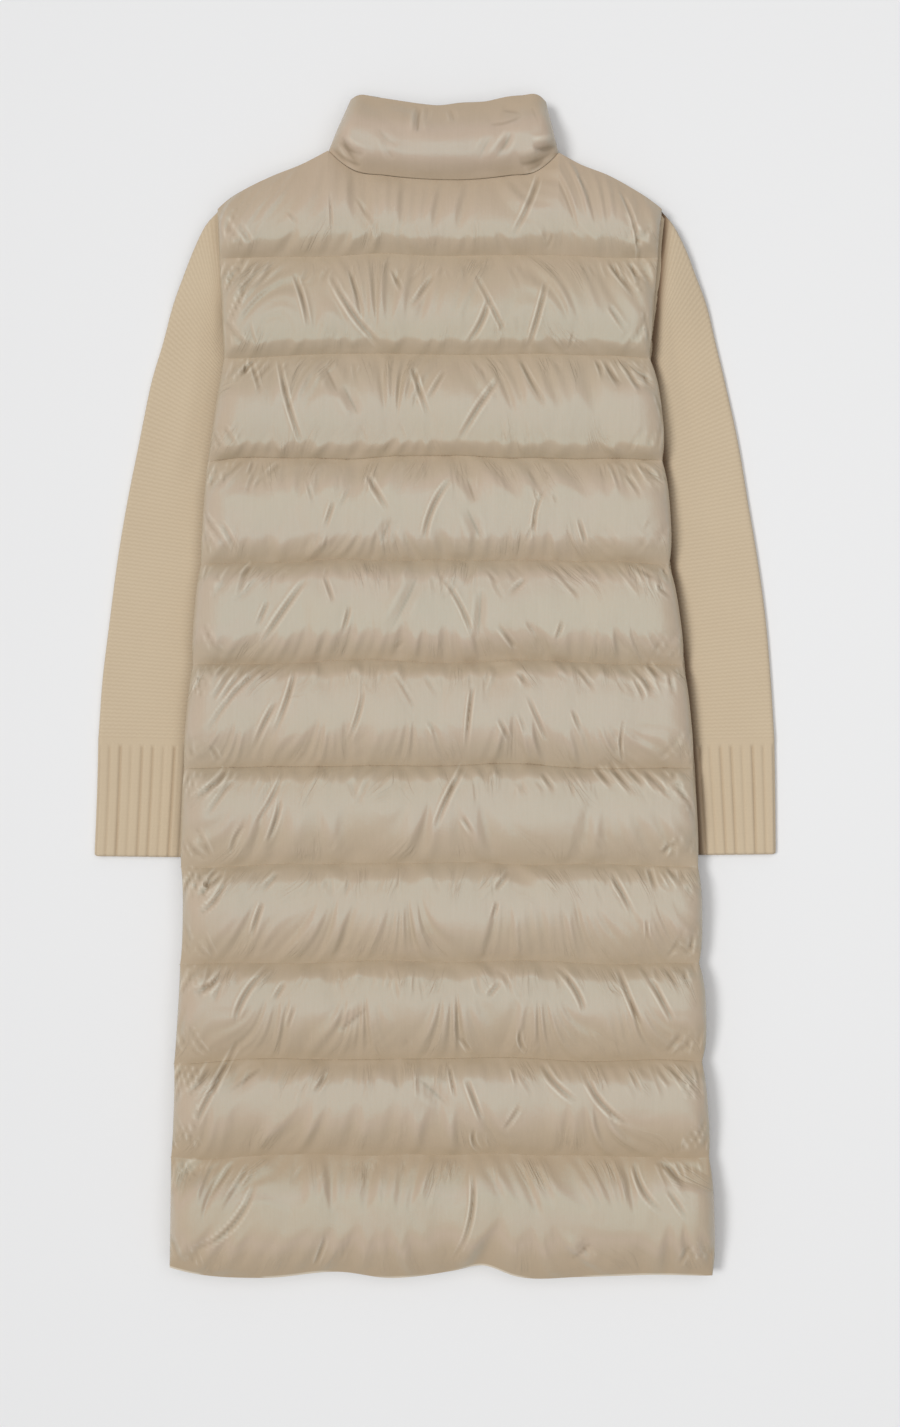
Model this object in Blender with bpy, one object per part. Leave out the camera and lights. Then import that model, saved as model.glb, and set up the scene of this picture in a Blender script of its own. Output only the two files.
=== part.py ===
"""A long quilted down coat with knitted sleeves, lying flat on its front with its back up.

Sizes are in metres. +Y runs up the coat to its collar, +X to the right as seen from above, and +Z up from the
surface that the coat lies on. The origin lies under the middle of the coat's outline.

The padded body is two layers that meet in a flat plane half way up: the back panel above it, whose outside
is raised in quilted channels, and the two fronts below it, whose outside rests on the surface. The sleeves
are flattened knitted tubes. Their inner edges run in under the sides of the fronts, which lift to pass them.
"""

from collections import namedtuple

import bmesh
import bpy
import numpy as np

# Driving sizes
SEAM_GAP = 0.0003  # between two pieces sewn edge to edge
BACK_INSIDE = 0.0213  # height of the back panel's flat inside
FRONT_INSIDE = BACK_INSIDE - SEAM_GAP  # height of the fronts' flat inside
STITCHED_WALL = 0.0050  # thickness of the back panel along a quilting line
EDGE_WALL = 0.0030  # thickness of the back panel at its side edges
THINNEST_WALL = 0.0016  # what the deepest fold leaves of a padded wall
SIDE_ROLL = 0.045  # width of the rounded side edge
ARMHOLE_ROLL = 0.022  # the same along an armhole
LINE_EDGE_DROP = 0.004  # how far each quilting line drops towards its ends
CENTRE_FRONT_X = 0.007
CLOSURE_WIDTH = 0.0092  # the slit between the fronts that the zip fills

NECK_LEFT = (-0.1070, 0.5365)  # where the collar's seam meets the left shoulder
NECK_RIGHT = (0.1240, 0.5345)
FRONT_NECK_Y = 0.4770  # the front neckline's lowest point

UNDERARM_Y = 0.3315
SIDE_LIFT = 0.0108  # height of the fronts' outside where the sleeves run in under it
SIDE_LIFT_REACH = 0.052
BELOW_CUFF_LIFT = 0.0070  # the same below the cuffs
BELOW_CUFF_REACH = 0.014
CUFF_END_Y = -0.1710
SIDE_LIP = 0.0176  # height of the fronts' outer edge
LIFT_FADE = 0.048  # width over which a lifted side comes down to rest
LIFT_CHANGE = 0.06  # length over which the lift changes, past the cuffs' ends
LIP_ROLL = 0.012
SIDE_PINCH = 0.0025  # how far a quilting line draws the fronts' side up
PINCH_FADE = 0.06
TOP_LIFT = 0.0075  # height of the fronts' outside at the shoulders and the neck
TOP_LIFT_FADE = 0.035
HEM_LIFT = 0.0040
HEM_LIFT_FADE = 0.018

SLEEVE_THICKNESS = 0.0080
KNIT_WALL = 0.0032
SLEEVE_CROWN = 0.0010
SLEEVE_HEAD_LIFT = 0.0125  # height of the sleeve's underside at the armhole
SLEEVE_HEAD_FADE = 0.075  # width over which the sleeve's head comes down to rest
SLEEVE_HEAD_RISE = 0.07  # length over which it rises, above the underarm
CUFF_THICKNESS = 0.0088
RIBS_ON_A_FACE = 8
RIB_PROFILE = (-0.0011, -0.0002, 0.0002, 0.0002, -0.0002)  # outside of one rib, groove first

COLLAR_STITCHED_WALL = 0.0060
COLLAR_CROWN = 0.0165
COLLAR_SIDE_ROLL = 0.030
COLLAR_FRONT_INSIDE = 0.0196
COLLAR_HOLLOW_INSET = 0.014  # from a folded side of the collar to its inside
COLLAR_SEAM_ROLL = 0.16  # share of the collar's height that rounds up from the seam
COLLAR_TOP_ROLL = 0.22  # share that rounds over to its top edge
COLLAR_FULLNESS = (0.12, 0.92)  # the part of a half wave that its padding swells along

CHAIN_LOW = 0.0018  # the closed zip, between its two lips
CHAIN_HIGH = 0.0046
CHAIN_HEM_Y = -0.5780
CHAIN_TOP_SPACE = 0.003
SLIDER_LENGTH = 0.012
SLIDER_LOW = 0.0002
SLIDER_TOP_SPACE = 0.002
SLIDER_SIDE_SPACE = 0.0004

# The quilting lines, from the shoulders to the hem. swell_left, swell_right and crown belong to the channel
# below each line: how far its ends bulge past the line's ends, and how far its middle rises above the line.
QuiltLine = namedtuple("QuiltLine", "y left right swell_left swell_right crown")
QUILT_LINES = (
    QuiltLine(0.4785, -0.2175, 0.2270, 0.0000, 0.0000, 0.0130),
    QuiltLine(0.4325, -0.2154, 0.2232, 0.0000, 0.0000, 0.0180),
    QuiltLine(0.3335, -0.2110, 0.2150, 0.0010, 0.0060, 0.0195),
    QuiltLine(0.2305, -0.2270, 0.2270, 0.0015, 0.0050, 0.0195),
    QuiltLine(0.1275, -0.2340, 0.2340, 0.0030, 0.0040, 0.0200),
    QuiltLine(0.0265, -0.2420, 0.2480, 0.0025, 0.0030, 0.0200),
    QuiltLine(-0.0775, -0.2510, 0.2580, 0.0015, 0.0020, 0.0200),
    QuiltLine(-0.1755, -0.2540, 0.2630, -0.0020, 0.0040, 0.0195),
    QuiltLine(-0.2735, -0.2550, 0.2640, -0.0005, 0.0060, 0.0195),
    QuiltLine(-0.3705, -0.2610, 0.2670, -0.0010, 0.0030, 0.0190),
    QuiltLine(-0.4665, -0.2640, 0.2740, 0.0000, 0.0040, 0.0190),
    QuiltLine(-0.5800, -0.2655, 0.2775, 0.0000, 0.0000, 0.0000),
)

Point = namedtuple("Point", "x y")
LEFT_SHOULDER = (
    Point(-0.2175, 0.4785),
    Point(-0.2070, 0.4875),
    Point(-0.1870, 0.4995),
    Point(-0.1630, 0.5110),
    Point(-0.1320, 0.5235),
    Point(*NECK_LEFT),
)
BACK_NECK = (
    Point(*NECK_LEFT),
    Point(-0.0950, 0.5255),
    Point(-0.0830, 0.5175),
    Point(-0.0490, 0.5115),
    Point(-0.0010, 0.5075),
    Point(0.0370, 0.5075),
    Point(0.0750, 0.5115),
    Point(0.1010, 0.5155),
    Point(0.1140, 0.5245),
    Point(*NECK_RIGHT),
)
RIGHT_SHOULDER = (
    Point(*NECK_RIGHT),
    Point(0.1440, 0.5235),
    Point(0.1740, 0.5115),
    Point(0.1960, 0.4995),
    Point(0.2150, 0.4875),
    Point(0.2270, 0.4785),
)
HEM = (
    Point(-0.2655, -0.5800),
    Point(-0.2470, -0.5845),
    Point(-0.1700, -0.5900),
    Point(-0.0940, -0.5840),
    Point(-0.0460, -0.5900),
    Point(0.0200, -0.5825),
    Point(0.0470, -0.5775),
    Point(0.0810, -0.5885),
    Point(0.1480, -0.5890),
    Point(0.2210, -0.5870),
    Point(0.2775, -0.5880),
)
COLLAR_TOP = (
    Point(-0.0850, 0.5865),
    Point(-0.0810, 0.5895),
    Point(-0.0350, 0.5835),
    Point(-0.0010, 0.5805),
    Point(0.0280, 0.5835),
    Point(0.0580, 0.5845),
    Point(0.0720, 0.5895),
    Point(0.1040, 0.5900),
    Point(0.1115, 0.5830),
)
COLLAR_FRONT_TOP_Y = 0.5660  # the collar's top edge at the centre front

# The largest folds: straight troughs in a padded outside, deepest half way along
Fold = namedtuple("Fold", "x0 y0 x1 y1 width depth")
BACK_FOLDS = (
    Fold(0.1040, 0.5085, 0.0700, 0.4375, 0.009, 0.0035),
    Fold(0.1840, 0.4925, 0.2070, 0.3875, 0.009, 0.0040),
    Fold(-0.1880, 0.4255, -0.2070, 0.3555, 0.009, 0.0040),
    Fold(-0.1040, 0.4095, -0.0520, 0.3385, 0.009, 0.0040),
    Fold(0.0540, 0.3845, 0.0270, 0.3365, 0.009, 0.0040),
    Fold(0.1110, 0.4035, 0.0930, 0.3375, 0.009, 0.0040),
    Fold(0.1740, 0.4245, 0.2050, 0.3825, 0.009, 0.0045),
    Fold(-0.1560, 0.3305, -0.1330, 0.2425, 0.009, 0.0045),
    Fold(-0.0220, 0.3175, -0.0020, 0.2585, 0.009, 0.0040),
    Fold(0.0670, 0.3095, 0.0210, 0.2405, 0.010, 0.0045),
    Fold(0.1830, 0.3275, 0.2150, 0.2995, 0.009, 0.0045),
    Fold(-0.0670, 0.2125, -0.0440, 0.1725, 0.009, 0.0035),
    Fold(0.0170, 0.2075, -0.0110, 0.1465, 0.009, 0.0040),
    Fold(0.2050, 0.2225, 0.2270, 0.2005, 0.009, 0.0040),
    Fold(-0.1270, 0.1095, -0.1750, 0.0355, 0.009, 0.0045),
    Fold(0.1180, 0.1175, 0.1430, 0.0905, 0.009, 0.0035),
    Fold(0.0050, 0.1125, 0.0380, 0.0475, 0.009, 0.0030),
    Fold(-0.1690, 0.0225, -0.2280, -0.0525, 0.010, 0.0045),
    Fold(-0.1390, 0.0175, -0.1640, -0.0545, 0.009, 0.0040),
    Fold(0.0380, 0.0045, 0.0310, -0.0695, 0.009, 0.0040),
    Fold(0.2110, 0.0265, 0.2360, -0.0005, 0.009, 0.0045),
    Fold(-0.1530, -0.1095, -0.1670, -0.1545, 0.009, 0.0040),
    Fold(0.0310, -0.0735, -0.0010, -0.1415, 0.009, 0.0040),
    Fold(0.1650, -0.0755, 0.1970, -0.1065, 0.009, 0.0045),
    Fold(-0.2100, -0.1825, -0.2440, -0.2175, 0.009, 0.0045),
    Fold(0.1750, -0.1825, 0.1980, -0.2285, 0.009, 0.0045),
    Fold(-0.1620, -0.2755, -0.1980, -0.3295, 0.009, 0.0045),
    Fold(0.1210, -0.2775, 0.1480, -0.3195, 0.009, 0.0040),
    Fold(0.2040, -0.2755, 0.2360, -0.3315, 0.009, 0.0045),
    Fold(-0.0660, -0.3155, -0.0950, -0.3425, 0.009, 0.0030),
    Fold(-0.1950, -0.3525, -0.2490, -0.4595, 0.010, 0.0050),
    Fold(0.0140, -0.3825, 0.0470, -0.4295, 0.009, 0.0045),
    Fold(0.1460, -0.3755, 0.1940, -0.4345, 0.010, 0.0045),
    Fold(-0.1780, -0.4875, -0.2370, -0.5575, 0.011, 0.0050),
    Fold(0.0370, -0.4725, 0.0140, -0.5765, 0.010, 0.0040),
    Fold(0.2050, -0.4775, 0.2340, -0.5245, 0.009, 0.0045),
)
COLLAR_FOLDS = (
    Fold(-0.0140, 0.5900, -0.0170, 0.5480, 0.007, 0.0050),
    Fold(-0.1010, 0.5520, -0.0730, 0.5170, 0.008, 0.0045),
    Fold(0.0780, 0.5560, 0.0500, 0.5190, 0.009, 0.0040),
    Fold(0.1240, 0.5400, 0.0930, 0.5200, 0.008, 0.0045),
    Fold(0.0560, 0.5800, 0.0900, 0.5600, 0.009, 0.0030),
)
LEFT_SLEEVE_FOLDS = (Fold(-0.2140, 0.3900, -0.2460, 0.2000, 0.008, 0.0022),)
RIGHT_SLEEVE_FOLDS = (Fold(0.2280, 0.4400, 0.2620, 0.2500, 0.009, 0.0014),)

# Sections across each sleeve, from the armhole to the cuff: the flattened tube's outer and inner edge
Section = namedtuple("Section", "outer_x outer_y inner_x inner_y")
LEFT_SLEEVE = (
    Section(-0.2180, 0.4780, -0.2115, 0.3315),
    Section(-0.2310, 0.4635, -0.2060, 0.3235),
    Section(-0.2420, 0.4415, -0.1990, 0.3145),
    Section(-0.2520, 0.4145, -0.1920, 0.3035),
    Section(-0.2620, 0.3845, -0.1870, 0.2895),
    Section(-0.2720, 0.3475, -0.1840, 0.2715),
    Section(-0.2840, 0.3065, -0.1840, 0.2475),
    Section(-0.2960, 0.2475, -0.1880, 0.2125),
    Section(-0.3080, 0.1875, -0.1970, 0.1675),
    Section(-0.3180, 0.1275, -0.2080, 0.1125),
    Section(-0.3260, 0.0655, -0.2220, 0.0545),
    Section(-0.3330, 0.0075, -0.2350, -0.0005),
    Section(-0.3370, -0.0505, -0.2450, -0.0525),
)
RIGHT_SLEEVE = (
    Section(0.2276, 0.4780, 0.2156, 0.3315),
    Section(0.2400, 0.4635, 0.2090, 0.3235),
    Section(0.2520, 0.4405, 0.2020, 0.3145),
    Section(0.2610, 0.4155, 0.1950, 0.3035),
    Section(0.2710, 0.3865, 0.1900, 0.2895),
    Section(0.2800, 0.3495, 0.1870, 0.2705),
    Section(0.2900, 0.3075, 0.1870, 0.2465),
    Section(0.3030, 0.2475, 0.1920, 0.2115),
    Section(0.3130, 0.1875, 0.2020, 0.1665),
    Section(0.3230, 0.1275, 0.2140, 0.1125),
    Section(0.3310, 0.0675, 0.2260, 0.0545),
    Section(0.3360, 0.0075, 0.2380, -0.0005),
    Section(0.3395, -0.0505, 0.2490, -0.0525),
)
LEFT_CUFF = (
    Section(-0.3371, -0.0508, -0.2468, -0.0528),
    Section(-0.3385, -0.1080, -0.2500, -0.1090),
    Section(-0.3410, -0.1700, -0.2540, -0.1710),
)
RIGHT_CUFF = (
    Section(0.3396, -0.0508, 0.2505, -0.0528),
    Section(0.3405, -0.1080, 0.2545, -0.1090),
    Section(0.3410, -0.1680, 0.2590, -0.1690),
)

# Where the meshes have their points
EDGE_STATIONS = (0.0, 0.003, 0.008, 0.016, 0.028, 0.044)  # in from a side edge of the back panel
SHOULDER_STEPS_LEFT = 5  # from the last edge station to the neck
SHOULDER_STEPS_RIGHT = 4
NECK_STEPS = 19
CHANNEL_STATIONS = (0.0, 0.06, 0.20, 0.40, 0.60, 0.80, 0.94)
FRONT_STATIONS = (0.0, 0.003, 0.010, 0.024, 0.050, 0.070, 0.090, 0.1105)
FRONT_MIDDLE_STEPS = 5
FRONT_CHANNEL_STATIONS = (0.0, 0.12, 0.5, 0.88)
SLEEVE_RINGS = 16
SLEEVE_FACE_STEPS = 11
TUBE_END_STEPS = 4
CUFF_RINGS = 4
COLLAR_HEIGHT_STATIONS = (0.0, 0.04, 0.12, 0.28, 0.50, 0.72, 0.88, 0.96, 1.0)
COLLAR_EDGE_STATIONS = (0.0, 0.0025, 0.006, 0.018)


def smoothstep(share):
    share = np.clip(share, 0.0, 1.0)
    return share * share * (3.0 - 2.0 * share)


def quarter_round(share):
    """0 to 1 along a quarter circle that starts upright."""
    return np.sqrt(1.0 - (1.0 - np.clip(share, 0.0, 1.0)) ** 2)


def swell(share):
    """How full a filled channel is, from one stitched line (0) to the next (1)."""
    return np.sin(np.pi * np.clip(share, 0.0, 1.0)) ** 0.65


def along(points, x):
    """y of a line through points, at x."""
    return np.interp(x, [p.x for p in points], [p.y for p in points])


def trough(folds, x, y):
    """Depth of all folds together at x, y."""
    total = np.zeros(np.shape(x))
    for fold in folds:
        run = np.array((fold.x1 - fold.x0, fold.y1 - fold.y0))
        length = np.hypot(*run)
        share = ((x - fold.x0) * run[0] + (y - fold.y0) * run[1]) / length**2
        aside = ((x - fold.x0) * run[1] - (y - fold.y0) * run[0]) / length
        share = np.clip(share, 0.0, 1.0)
        total += fold.depth * 2.0 * np.sqrt(share * (1.0 - share)) * np.exp(-((aside / fold.width) ** 2))
    return total


def smooth_sections(sections, count):
    """count sections along a smooth curve through the given ones."""
    rows = np.array(sections)
    before = np.vstack((2 * rows[0] - rows[1], rows, 2 * rows[-1] - rows[-2]))
    found = []
    for place in np.linspace(0.0, len(rows) - 1.0, count):
        i = min(int(place), len(rows) - 2)
        t = place - i
        a, b, c, d = before[i : i + 4]
        found.append(
            0.5 * (2 * b + (c - a) * t + (2 * a - 5 * b + 4 * c - d) * t**2 + (3 * b - a - 3 * c + d) * t**3)
        )
    return [Section(*row) for row in found]


# Making objects


def material(name, colour, roughness, metallic=0.0):
    made = bpy.data.materials.new(name)
    made.use_nodes = True
    shader = made.node_tree.nodes["Principled BSDF"]
    shader.inputs["Base Color"].default_value = (*colour, 1.0)
    shader.inputs["Roughness"].default_value = roughness
    shader.inputs["Metallic"].default_value = metallic
    made.diffuse_color = (*colour, 1.0)
    return made


def add_solid(name, points, faces, look):
    """One named object from a closed mesh, its faces turned outward."""
    work = bmesh.new()
    corners = [work.verts.new(point) for point in points]
    for face in faces:
        work.faces.new([corners[i] for i in face])
    bmesh.ops.recalc_face_normals(work, faces=work.faces)
    mesh = bpy.data.meshes.new(name)
    work.to_mesh(mesh)
    work.free()
    mesh.shade_smooth()
    mesh.materials.append(look)
    placed = bpy.data.objects.new(name, mesh)
    bpy.context.scene.collection.objects.link(placed)
    return placed


def add_slab(name, grid, flat_height, look):
    """A wall between a shaped outside, a grid of points in rows, and a flat inside at one height."""
    rows, columns, _ = grid.shape

    def at(row, column):
        return row * columns + column

    points = [tuple(p) for p in grid.reshape(-1, 3)]
    faces = [
        (at(r, c), at(r, c + 1), at(r + 1, c + 1), at(r + 1, c))
        for r in range(rows - 1)
        for c in range(columns - 1)
    ]
    rim = [at(0, c) for c in range(columns)]
    rim += [at(r, columns - 1) for r in range(1, rows)]
    rim += [at(rows - 1, c) for c in range(columns - 2, -1, -1)]
    rim += [at(r, 0) for r in range(rows - 2, 0, -1)]
    first = len(points)
    points += [(points[i][0], points[i][1], flat_height) for i in rim]
    count = len(rim)
    for i in range(count):
        j = (i + 1) % count
        faces.append((rim[i], rim[j], first + j, first + i))
    faces.append(tuple(range(first, first + count)))
    return add_solid(name, points, faces, look)


def add_tube(name, outside, inside, look):
    """An open tube's wall, from rings round its outside and as many rings round its inside."""
    rings = list(outside) + list(inside)[::-1]
    around = len(rings[0])
    points = [tuple(p) for ring in rings for p in ring]
    faces = []
    for k in range(len(rings)):
        following = (k + 1) % len(rings)
        for i in range(around):
            j = (i + 1) % around
            faces.append(
                (k * around + i, k * around + j, following * around + j, following * around + i)
            )
    return add_solid(name, points, faces, look)


def add_loft(name, sections, look):
    """A solid through closed sections whose two halves, outside and inside, have as many points each."""
    around = len(sections[0])
    half = around // 2
    points = [tuple(p) for section in sections for p in section]
    faces = []
    for k in range(len(sections) - 1):
        for i in range(around):
            j = (i + 1) % around
            faces.append(
                (k * around + i, k * around + j, (k + 1) * around + j, (k + 1) * around + i)
            )
    for start in (0, (len(sections) - 1) * around):
        for i in range(half - 1):
            faces.append(
                (start + i, start + i + 1, start + around - 2 - i, start + around - 1 - i)
            )
    return add_solid(name, points, faces, look)


# The padded body


def line_stations(line):
    """x of the back panel's columns along a quilting line."""
    steps = SHOULDER_STEPS_LEFT + NECK_STEPS + SHOULDER_STEPS_RIGHT
    left = line.left + np.array(EDGE_STATIONS)
    right = line.right - np.array(EDGE_STATIONS)
    return np.concatenate((left, np.linspace(left[-1], right[-1], steps + 1)[1:-1], right[::-1]))


def shoulder_stations(tip_x, neck_x, steps):
    """x of the columns along one shoulder, from its tip to the neck."""
    inward = np.sign(neck_x - tip_x)
    edge = tip_x + inward * np.array(EDGE_STATIONS)
    return np.concatenate((edge, np.linspace(edge[-1], neck_x, steps + 1)[1:]))


def top_edge():
    """x and y of the back panel's columns along the shoulders and the neck."""
    left = shoulder_stations(QUILT_LINES[0].left, NECK_LEFT[0], SHOULDER_STEPS_LEFT)
    right = shoulder_stations(QUILT_LINES[0].right, NECK_RIGHT[0], SHOULDER_STEPS_RIGHT)[::-1]
    neck = np.linspace(NECK_LEFT[0], NECK_RIGHT[0], NECK_STEPS + 1)[1:-1]
    x = np.concatenate((left, neck, right))
    y = np.concatenate((along(LEFT_SHOULDER, left), along(BACK_NECK, neck), along(RIGHT_SHOULDER, right)))
    return x, y


def quilted_rows(stations):
    """(channel, share of it) of each row of points from the shoulders to the hem."""
    rows = [(channel, share) for channel in range(len(QUILT_LINES) - 1) for share in stations]
    return rows + [(len(QUILT_LINES) - 2, 1.0)]


def side_edge(channel, share, side):
    """x of the body's left (-1) or right (1) edge."""
    above, below = QUILT_LINES[channel], QUILT_LINES[channel + 1]
    if side < 0:
        return above.left + (below.left - above.left) * share - above.swell_left * swell(share)
    return above.right + (below.right - above.right) * share + above.swell_right * swell(share)


def back_line(number):
    """x and y of the columns along a quilting line of the back panel."""
    if number == 0:
        return top_edge()
    x = line_stations(QUILT_LINES[number])
    if number == len(QUILT_LINES) - 1:
        return x, along(HEM, x)
    across = np.linspace(-1.0, 1.0, len(x))
    return x, QUILT_LINES[number].y - LINE_EDGE_DROP * across**2


def make_back_panel(look):
    lines = [back_line(number) for number in range(len(QUILT_LINES))]
    rows = []
    for channel, share in quilted_rows(CHANNEL_STATIONS):
        (x0, y0), (x1, y1) = lines[channel], lines[channel + 1]
        x = x0 + (x1 - x0) * share
        y = y0 + (y1 - y0) * share
        across = np.linspace(0.0, 1.0, len(x))
        left, right = side_edge(channel, share, -1), side_edge(channel, share, 1)
        x = x + (left - x[0]) * (1.0 - across) ** 3 + (right - x[-1]) * across**3
        inward = np.minimum(x - left, right - x)
        roll = quarter_round(inward / (ARMHOLE_ROLL if channel < 2 else SIDE_ROLL))
        z = EDGE_WALL + (STITCHED_WALL - EDGE_WALL) * roll
        z = z + QUILT_LINES[channel].crown * swell(share) * roll
        z = BACK_INSIDE + np.maximum(z - trough(BACK_FOLDS, x, y), THINNEST_WALL)
        rows.append(np.column_stack((x, y, z)))
    return add_slab("back_panel", np.array(rows), BACK_INSIDE, look)


def front_neck(x, side):
    """y of the front neckline, which dips from the neck's corner to the centre front."""
    corner_x, corner_y = NECK_LEFT if side < 0 else NECK_RIGHT
    out = np.clip((x - CENTRE_FRONT_X) / (corner_x - CENTRE_FRONT_X), 0.0, 1.0)
    return FRONT_NECK_Y + (corner_y - FRONT_NECK_Y) * out**2.2


def front_line(number, side):
    """x and y of a front's columns along a quilting line, from its side edge to the centre front."""
    line = QUILT_LINES[number]
    edge = line.left if side < 0 else line.right
    neck_x = NECK_LEFT[0] if side < 0 else NECK_RIGHT[0]
    inward = np.array(FRONT_STATIONS)
    if number == 0:
        inward = inward * abs(neck_x - edge) / FRONT_STATIONS[-1]
    outer = edge - side * inward
    centre = CENTRE_FRONT_X + side * CLOSURE_WIDTH / 2.0
    inner = np.linspace(outer[-1], centre, FRONT_MIDDLE_STEPS + 1)[1:]
    x = np.concatenate((outer, inner))
    if number == 0:
        shoulder = LEFT_SHOULDER if side < 0 else RIGHT_SHOULDER
        return x, np.concatenate((along(shoulder, outer), front_neck(inner, side)))
    if number == len(QUILT_LINES) - 1:
        return x, along(HEM, x)
    across = (x - CENTRE_FRONT_X) / (edge - CENTRE_FRONT_X)
    return x, line.y - LINE_EDGE_DROP * across**2


def front_outside(inward, y, top_y, hem_y, share):
    """Height of a front's outside: flat on the surface, lifted along the sides, the top and the hem."""
    below = smoothstep((CUFF_END_Y - LIFT_CHANGE / 2.0 - y) / LIFT_CHANGE)
    lift = SIDE_LIFT + (BELOW_CUFF_LIFT - SIDE_LIFT) * below
    reach = SIDE_LIFT_REACH + (BELOW_CUFF_REACH - SIDE_LIFT_REACH) * below
    side = lift * (1.0 - smoothstep((inward - reach) / LIFT_FADE))
    lip = (SIDE_LIP - lift) * (1.0 - quarter_round(inward / LIP_ROLL))
    pinch = SIDE_PINCH * (1.0 - swell(share)) * (1.0 - smoothstep(inward / PINCH_FADE))
    top = TOP_LIFT * (1.0 - smoothstep((top_y - y) / TOP_LIFT_FADE))
    hem = HEM_LIFT * (1.0 - smoothstep((y - hem_y) / HEM_LIFT_FADE))
    lifted = np.maximum(side + lip + pinch, np.maximum(top, hem))
    return np.minimum(lifted, FRONT_INSIDE - EDGE_WALL)


def make_front(name, side, look):
    lines = [front_line(number, side) for number in range(len(QUILT_LINES))]
    rows = []
    for channel, share in quilted_rows(FRONT_CHANNEL_STATIONS):
        (x0, y0), (x1, y1) = lines[channel], lines[channel + 1]
        x = x0 + (x1 - x0) * share
        y = y0 + (y1 - y0) * share
        edge = side_edge(channel, share, side)
        out = (x - CENTRE_FRONT_X) / (x[0] - CENTRE_FRONT_X)
        x = x + (edge - x[0]) * out**3
        z = front_outside(np.abs(edge - x), y, lines[0][1], lines[-1][1], share)
        rows.append(np.column_stack((x, y, z)))
    return add_slab(name, np.array(rows), FRONT_INSIDE, look)


# The collar


def near_edges(stations, left, right):
    """stations with more of them close to both ends."""
    extra = np.concatenate((left + np.array(COLLAR_EDGE_STATIONS), right - np.array(COLLAR_EDGE_STATIONS)))
    return np.unique(np.round(np.concatenate((stations, extra)), 6))


def collar_wall(v, seam_x, seam_y, seam_ends, top_ends, top_y_at):
    """x and y of one wall's stations at a share v of its height. Its ends run straight to the top edge."""
    across = (seam_x - seam_ends[0]) / (seam_ends[1] - seam_ends[0])
    top_x = top_ends[0] + (top_ends[1] - top_ends[0]) * across
    return seam_x + (top_x - seam_x) * v, seam_y + (top_y_at(top_x) - seam_y) * v


def collar_front_top(x):
    """y of the collar's top edge on the front wings, which dips to the centre front."""
    corner = np.where(x < CENTRE_FRONT_X, COLLAR_TOP[0].x, COLLAR_TOP[-1].x)
    corner_y = np.where(x < CENTRE_FRONT_X, COLLAR_TOP[0].y, COLLAR_TOP[-1].y)
    out = np.clip((x - CENTRE_FRONT_X) / (corner - CENTRE_FRONT_X), 0.0, 1.0)
    return COLLAR_FRONT_TOP_Y + (corner_y - COLLAR_FRONT_TOP_Y) * out**2


def collar_back_top(x):
    return along(COLLAR_TOP, x)


def make_collar(look):
    top_x, top_y = top_edge()
    back_x = near_edges(
        top_x[(top_x >= NECK_LEFT[0]) & (top_x <= NECK_RIGHT[0])], NECK_LEFT[0], NECK_RIGHT[0]
    )
    back_y = np.interp(back_x, top_x, top_y) + SEAM_GAP
    wings = []
    for side in (-1, 1):
        x, y = front_line(0, side)
        x, y = x[len(FRONT_STATIONS) - 1 :], y[len(FRONT_STATIONS) - 1 :]
        more = np.unique(np.round(np.concatenate((x, x[0] - side * np.array(COLLAR_EDGE_STATIONS))), 6))
        order = np.argsort(x)
        wings.append((more, np.interp(more, x[order], y[order]) + SEAM_GAP))
    # Each section runs along the left wing from the slit to its fold, over the back and along the right wing
    folds = ((NECK_LEFT[0], COLLAR_TOP[0].x), (NECK_RIGHT[0], COLLAR_TOP[-1].x))
    lips = [CENTRE_FRONT_X + side * CLOSURE_WIDTH / 2.0 for side in (-1, 1)]
    left_wing = [values[::-1][:-1] for values in wings[0]]
    right_wing = [values[::-1][1:] for values in wings[1]]
    walls = (
        (*left_wing, (folds[0][0], lips[0]), (folds[0][1], lips[0]), collar_front_top),
        (back_x, back_y, (folds[0][0], folds[1][0]), (folds[0][1], folds[1][1]), collar_back_top),
        (*right_wing, (lips[1], folds[1][0]), (lips[1], folds[1][1]), collar_front_top),
    )
    sections = []
    low, high = COLLAR_FULLNESS
    for v in COLLAR_HEIGHT_STATIONS:
        left, right = (seam + (top - seam) * v for seam, top in folds)
        shrink = 1.0 - 2.0 * COLLAR_HOLLOW_INSET / (right - left)
        rim = quarter_round(v / COLLAR_SEAM_ROLL) * quarter_round((1.0 - v) / COLLAR_TOP_ROLL)
        full = np.sin(np.pi * (low + (high - low) * v)) ** 0.5 * rim
        outside, inside = [], []
        for wall in walls:
            x, y = collar_wall(v, *wall)
            inward = np.minimum(x - left, right - x)
            roll = quarter_round(inward / COLLAR_SIDE_ROLL)
            inner_x = (left + right) / 2.0 + (x - (left + right) / 2.0) * shrink
            if wall[-1] is collar_back_top:
                inner_z = BACK_INSIDE
                z = BACK_INSIDE + (COLLAR_STITCHED_WALL + COLLAR_CROWN * full) * roll
                z = np.maximum(z - trough(COLLAR_FOLDS, x, y), BACK_INSIDE + THINNEST_WALL * (inward > 0.0))
            else:
                inner_z = COLLAR_FRONT_INSIDE
                z = inner_z - (COLLAR_STITCHED_WALL + (inner_z - COLLAR_STITCHED_WALL) * full) * roll
                at_lip = np.abs(x - CENTRE_FRONT_X) < CLOSURE_WIDTH / 2.0 + SEAM_GAP
                inner_x = np.where(at_lip, x, inner_x)
            outside.append(np.column_stack((x, y, z)))
            inside.append(np.column_stack((inner_x, y, np.full(len(x), inner_z))))
        sections.append(np.vstack((*outside, np.vstack(inside)[::-1])))
    return add_loft("collar", sections, look)


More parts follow.
